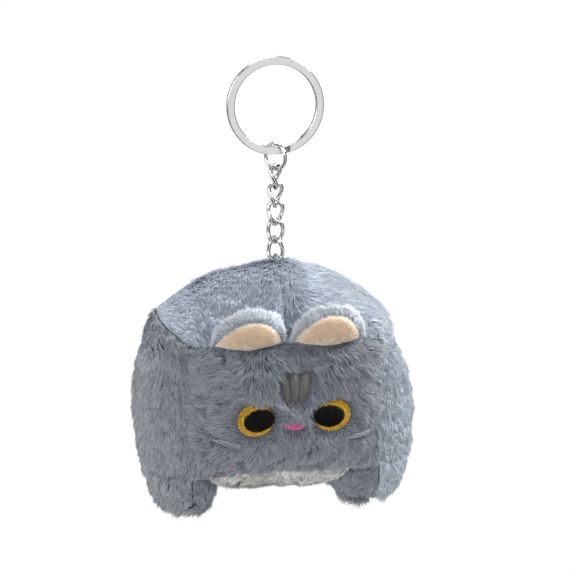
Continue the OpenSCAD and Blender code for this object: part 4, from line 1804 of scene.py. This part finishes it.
@dataclass
class KeyHardware:
    """The split ring, the jump ring, the five twisted links and the cord loop."""

    dresser: Dresser
    ring_r: float = 13.8
    strip_w: float = 2.4
    strip_t: float = 0.9
    coil_y: float = 0.48
    bend_from: float = -68.0
    bend: float = 16.0
    sweep: float = 328.0
    jump_r: float = 3.95
    jump_wire: float = 1.1
    jump_yaw: float = -51.0
    jump_gap: float = 2.4
    link_half_w: float = 2.275
    link_half_l: float = 3.525
    link_wire: float = 1.25
    link_twist: float = 60.0
    first_yaw: float = 32.0
    yaw_step: float = -23.0
    links: int = 5
    cord_d: float = 1.3
    loop_r: float = 1.335

    def hand_over(self, piece: bpy.types.Object, node: str, body: str) -> None:
        """Rides and logs a piece that stands for a CAD node, and hides the node.

        Args:
            piece: The piece.
            node: The CAD node.
            body: The CAD body.
        """
        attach(piece, body)
        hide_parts(node)
        LOG.info("%s: %d faces", node, len(piece.data.polygons))

    def sweep_wire(self, name: str, points: np.ndarray, closed: bool, wire: float,
                   finish: NickelPlate | BraidedCord) -> bpy.types.Object:
        """Sweeps a round wire along a line of millimetre points.

        Args:
            name: The piece's name.
            points: The line.
            closed: Whether its ends join.
            wire: The wire's thickness.
            finish: Its finish.

        Returns:
            The wire.
        """
        count = len(points)
        edges = [(k, k + 1) for k in range(count - 1)] + ([(count - 1, 0)] if closed else [])
        line = line_object(name + "_line", points, edges)
        made = run_tree(wire_tree(), line, name + "_wire", {
            "Radius": wire / 2 * MM, "Sides": 20, "Finish": self.dresser.finish(finish)})
        bpy.data.objects.remove(line)
        return made

    def split_ring(self) -> bpy.types.Object:
        """The flat strip wound twice round, with its crossing bend.

        Returns:
            The ring.
        """
        step = 2.0
        front = np.arange(self.bend_from + self.sweep, self.bend_from, -step)
        bend_to = self.bend_from - self.bend
        turn = np.linspace(self.bend_from, bend_to, 12)
        back = np.arange(bend_to - step, bend_to - self.sweep, -step)
        angles = np.radians(np.concatenate([front, turn, back, [bend_to - self.sweep]]))
        shift = np.concatenate([np.full(len(front), -self.coil_y),
                                -self.coil_y + 2 * self.coil_y * ease(0, 1, np.linspace(0, 1, 12)),
                                np.full(len(back) + 1, self.coil_y)])
        edge = 0.3
        section = []
        for x, y, start in ((1, 1, 0), (-1, 1, 90), (-1, -1, 180), (1, -1, 270)):
            for k in range(4):
                a = math.radians(start + 30 * k)
                section.append((x * (self.strip_w / 2 - edge) + edge * math.cos(a),
                                y * (self.strip_t / 2 - edge) + edge * math.sin(a)))
        section = np.array(section)
        sides = len(section)
        points = []
        for a, y in zip(angles, shift):
            radius = self.ring_r + section[:, 0]
            points.append(np.stack([radius * math.cos(a), y + section[:, 1],
                                    radius * math.sin(a)], 1))
        faces = [(i * sides + j, i * sides + (j + 1) % sides, (i + 1) * sides + (j + 1) % sides,
                  (i + 1) * sides + j) for i in range(len(points) - 1) for j in range(sides)]
        last = (len(points) - 1) * sides
        faces += [tuple(range(sides)), tuple(range(last + sides - 1, last - 1, -1))]
        made = mesh_object("split_ring_strip", np.concatenate(points), faces)
        make_closed(made)
        sharp = made.data
        sharp.set_sharp_from_angle(angle=math.radians(40))
        sharp.materials.append(self.dresser.finish(STRIP))
        return made

    def link(self, index: int, low: float) -> bpy.types.Object:
        """One twisted oval link, whose lowest wire middle is at low.

        Args:
            index: Its number, from the top.
            low: The height of its lowest wire middle.

        Returns:
            The link.
        """
        a = np.linspace(0, math.tau, 96, endpoint=False)
        half_l, half_w = self.link_half_l, self.link_half_w
        x = half_w * np.sin(a)
        z = ((half_l - half_w) * np.sign(np.cos(a)) * np.minimum(1, np.abs(np.cos(a)) * 3)
             + half_w * np.cos(a))
        share = np.clip((1 - z / (0.85 * half_l)) / 2, 0, 1)
        yaw = np.radians(self.link_twist * share * share * (3 - 2 * share)
                         + self.first_yaw + index * self.yaw_step)
        points = np.stack([x * np.cos(yaw), x * np.sin(yaw), z + low + half_l], 1)
        return self.sweep_wire(f"chain_link_{index + 1}", points, True, self.link_wire, NICKEL)

    def build(self) -> None:
        """Makes every piece of the hardware."""
        self.hand_over(self.split_ring(), "split_ring", "key_ring")
        low, high = (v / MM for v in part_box("jump_ring"))
        centre = (low + high) / 2
        gap = math.radians(self.jump_gap) / 2
        a = np.linspace(gap, math.tau - gap, 90) - math.radians(15)
        turn = math.radians(self.jump_yaw)
        x, z = self.jump_r * np.cos(a), self.jump_r * np.sin(a)
        ring = np.stack([x * math.cos(turn), x * math.sin(turn), z + centre.z], 1)
        self.hand_over(self.sweep_wire("jump_ring", ring, False, self.jump_wire, NICKEL),
                       "jump_ring", "jump_ring")
        for k in range(self.links):
            name = f"chain_link_{k + 1}"
            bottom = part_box(name)[0].z / MM + self.link_wire / 2
            self.hand_over(self.link(k, bottom), name, f"link_{k + 1}")
        low, high = (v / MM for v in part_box("hang_loop"))
        hang = high.z - self.loop_r - self.cord_d / 2
        a = np.linspace(0, math.pi, 24)
        arc = np.stack([np.zeros(24), self.loop_r * np.cos(a), hang + self.loop_r * np.sin(a)], 1)
        down = np.linspace(hang, low.z, 12)[1:]
        path = np.concatenate([
            np.stack([np.zeros(11), np.full(11, self.loop_r), down[::-1]], 1), arc,
            np.stack([np.zeros(11), np.full(11, -self.loop_r), down], 1)])
        self.hand_over(self.sweep_wire("hang_loop", path, False, self.cord_d, CORD),
                       "hang_loop", "cat")

    def fills(self) -> None:
        """Makes the lumpy fibre fills from the CAD fills, a little inside the cloth."""
        for name in ("core_stuffing", "left_stuffing", "right_stuffing"):
            source = bpy.data.objects[name]
            made = bpy.data.objects.new(name + "_wad", source.data.copy())
            bpy.context.scene.collection.objects.link(made)
            made.data.materials.clear()
            mesh = bmesh.new()
            mesh.from_mesh(made.data)
            bmesh.ops.remove_doubles(mesh, verts=mesh.verts, dist=0.01 * MM)
            bmesh.ops.recalc_face_normals(mesh, faces=mesh.faces)
            mesh.normal_update()
            spots = np.array([v.co for v in mesh.verts]) / MM
            lumps = field_noise(spots, 6.0, 5.1)[:, 0]
            for point, lump in zip(mesh.verts, lumps):
                point.co -= point.normal * (2.1 + 0.5 * float(lump)) * MM
            mesh.to_mesh(made.data)
            mesh.free()
            made.data.shade_smooth()
            made.data.materials.append(self.dresser.finish(FILL))
            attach(made, "cat")
            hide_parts(name)


# --- Studio ----------------------------------------------------------------------------------


@dataclass
class Studio:
    """White floor and background, soft lights, and the camera, in millimetres and degrees."""

    spot: tuple[float, float, float] = (-79.1, -427.1, 70.5)
    azimuth: float = -11.0
    pitch: float = 16.44
    lens: float = 89.8
    floor_z: float = -205.0
    panel_turn: float = -79.0

    def panel_glow(self, tree: Tree, place: Socket) -> Socket:
        """What mirrors see round the charm: three broad light panels with dark gaps between them.

        Args:
            tree: The floor's or the world's tree.
            place: A place on the floor, or a direction in the world.

        Returns:
            The brightness.
        """
        parts = add_node(tree, "ShaderNodeSeparateXYZ", None, {0: place})
        turn = add_node(tree, "ShaderNodeMath", {"operation": "ARCTAN2"}, {
            0: parts.outputs["Y"], 1: parts.outputs["X"]})
        thrice = add_node(tree, "ShaderNodeMath", {"operation": "MULTIPLY_ADD"}, {
            0: turn.outputs[0], 1: 3.0, 2: -3.0 * math.radians(self.panel_turn)})
        wave = add_node(tree, "ShaderNodeMath", {"operation": "COSINE"}, {0: thrice.outputs[0]})
        return add_node(tree, "ShaderNodeMapRange", {"interpolation_type": "SMOOTHSTEP"}, {
            0: wave.outputs[0], 1: -0.3, 2: 0.85, 3: 0.04, 4: 0.88}).outputs[0]

    def camera(self) -> None:
        """Places the camera level with the cat's left front, looking a little down."""
        data = bpy.data.cameras.new("front_left")
        data.lens = self.lens
        data.sensor_width = 36.0
        data.clip_start, data.clip_end = 0.02, 50.0
        made = bpy.data.objects.new("front_left", data)
        a, e = math.radians(self.azimuth), math.radians(self.pitch)
        way = Vector((-math.sin(a) * math.cos(e), math.cos(a) * math.cos(e), -math.sin(e)))
        made.rotation_euler = way.to_track_quat("-Z", "Y").to_euler()
        made.location = Vector(self.spot) * MM
        bpy.context.scene.collection.objects.link(made)
        bpy.context.scene.camera = made

    def light(self, name: str, spot: tuple[float, float, float], size: float, watts: float,
              colour: str = "#ffffff") -> None:
        """A soft square light that points at the cat, with its place and size in metres.

        Args:
            name: The lamp's name.
            spot: Its place.
            size: The side of its square.
            watts: Its power.
            colour: Its colour.
        """
        data = bpy.data.lights.new(name, "AREA")
        data.size, data.energy = size, watts
        data.color = linear(colour)[:3]
        made = bpy.data.objects.new(name, data)
        made.location = spot
        way = Vector((0, 0, -0.085)) - Vector(spot)
        made.rotation_euler = way.to_track_quat("-Z", "Y").to_euler()
        bpy.context.scene.collection.objects.link(made)

    def build(self) -> None:
        """Makes the floor, the world and the lights."""
        size, z = 3000.0, self.floor_z
        floor = mesh_object("floor", np.array([(-size, -size, z), (size, -size, z), (size, size, z),
                                               (-size, size, z)]), [(0, 1, 2, 3)], False)
        made, tree, shader = new_material("matt_white_card")
        shader.inputs["Base Color"].default_value = linear("#d8d8d8")
        shader.inputs["Roughness"].default_value = 1.0
        shader.inputs["Specular IOR Level"].default_value = 0.0
        place = add_node(tree, "ShaderNodeTexCoord").outputs["Object"]
        path = add_node(tree, "ShaderNodeLightPath")
        # the floor glows though it is no lamp: a painted reflection of three light panels for
        # glossy rays, and an even white for the camera
        mirrored = add_node(tree, "ShaderNodeEmission", None, {
            "Strength": self.panel_glow(tree, place)})
        white = add_node(tree, "ShaderNodeEmission", None, {"Strength": 1.02})
        dim = add_node(tree, "ShaderNodeMixShader", None, {
            0: path.outputs["Is Glossy Ray"], 1: shader.outputs[0], 2: mirrored.outputs[0]})
        both = add_node(tree, "ShaderNodeMixShader", None, {
            0: path.outputs["Is Camera Ray"], 1: dim.outputs[0], 2: white.outputs[0]})
        tree.links.new(both.outputs[0], tree.nodes["Material Output"].inputs["Surface"])
        floor.data.materials.append(made)
        world = bpy.data.worlds.new("white_room")
        world.use_nodes = True
        nodes = world.node_tree
        back = nodes.nodes["Background"]
        path = add_node(nodes, "ShaderNodeLightPath")
        height = add_node(nodes, "ShaderNodeSeparateXYZ", None, {
            0: add_node(nodes, "ShaderNodeTexCoord").outputs["Generated"]})
        # a bright room with a dim band low down, which gives the nickel its dark edges
        glow = add_node(nodes, "ShaderNodeMapRange", None, {
            0: height.outputs["Z"], 1: -0.5, 2: 0.7, 3: 0.34, 4: 0.58}).outputs[0]
        way = add_node(nodes, "ShaderNodeTexCoord").outputs["Generated"]
        panels = self.panel_glow(nodes, way)
        seen = add_node(nodes, "ShaderNodeMix", {"data_type": "FLOAT"}, {
            0: path.outputs["Is Glossy Ray"], 2: glow, 3: panels}).outputs[0]
        power = add_node(nodes, "ShaderNodeMix", {"data_type": "FLOAT"}, {
            0: path.outputs["Is Camera Ray"], 2: seen, 3: 1.05}).outputs[0]
        nodes.links.new(power, back.inputs["Strength"])
        back.inputs["Color"].default_value = (1, 1, 1, 1)
        bpy.context.scene.world = world
        bpy.context.scene.view_settings.view_transform = "Standard"
        self.light("key_upper_right", (0.6, -0.1, 0.55), 0.35, 10.5)
        self.light("fill_left", (-0.65, -0.55, 0.2), 0.5, 3.8)
        self.light("top_soft", (-0.1, 0.25, 0.65), 0.5, 3.6)
        self.camera()


# --- The whole charm -------------------------------------------------------------------------


def face_trim(patches: list[Patch], whiskers: tuple) -> Callable:
    """Keeps the face's pile clear of the embroidery and combs it away from each patch.

    Args:
        patches: The patches.
        whiskers: Each whisker's two ends.

    Returns:
        The change of the pile's length and comb.
    """
    def trim(points: np.ndarray, pile: np.ndarray,
             comb: np.ndarray) -> tuple[np.ndarray, np.ndarray]:
        """Shortens and turns the pile round the patches.

        Args:
            points: Places, in millimetres.
            pile: The pile's shares of full length.
            comb: The way it lies.

        Returns:
            The pile and comb, changed.
        """
        for patch in patches:
            away = patch.spread(points)
            reach = 3.4 if "iris" in patch.name else 2.2
            pile = pile * np.where(away < 0.3, 0, 0.22 + 0.78 * ease(0.2, reach, away))
            push = points - np.array([patch.middle[0], 0, patch.middle[1]])
            push[:, 1] = 0
            near = 1 - ease(0.0, reach + 1.0, away)
            comb = comb + unit(push) * (1.8 * near)[:, None]
        for start, end in whiskers:
            a, b = np.array(start), np.array(end)
            flat = points[:, [0, 2]] - a
            share = np.clip(flat @ (b - a) / ((b - a) @ (b - a)), 0, 1)
            away = np.linalg.norm(flat - share[:, None] * (b - a), axis=1)
            pile = pile * (0.3 + 0.7 * ease(0.5, 2.6, away))
        return pile, comb
    return trim


def side_shade(points: np.ndarray) -> np.ndarray:
    """A pale streak down a side panel, painted sheen where the pile is brushed flat, with tone that
    differs at random.
    """
    # painted sheen: a pale band down the panel, lighter where the flattened pile would catch the
    # light
    sheen_streak = np.exp(-((points[:, 1] + 6.5 + 0.05 * (points[:, 2] + 90)) / 4.0) ** 2)
    return 0.95 + 0.16 * sheen_streak + 0.1 * field_noise(points, 12.0, 6.6)[:, 0]


def main() -> None:
    """Builds the charm piece by piece."""
    logging.basicConfig(level=logging.INFO, format="%(message)s")
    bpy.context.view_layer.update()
    dresser = Dresser.ready()
    body = SewnBody.from_frame()
    body.cut()
    body.sew()
    face = body.panel("face_panel")
    fine = face.finer(2)
    tree = BVHTree.FromPolygons([Vector(p) for p in fine.points], fine.quads())
    embroidery = Embroidery(tree, dresser)
    embroidery.plan()
    clear = face_trim(embroidery.patches, embroidery.whisker_ends)
    for panel in body.panels:
        trim = {"face_panel": clear, "top_left_panel": body.trim_top}.get(panel.name)
        shade = side_shade if "side" in panel.name else None
        dresser.dress(panel, "cat", body.cloth, trim, shade)
    embroidery.sew()
    for side in Side:
        Ear.from_frame(side, dresser).build()
    hardware = KeyHardware(dresser)
    hardware.build()
    hardware.fills()
    dresser.clear_away()
    Studio().build()


if __name__ == "__main__":
    main()
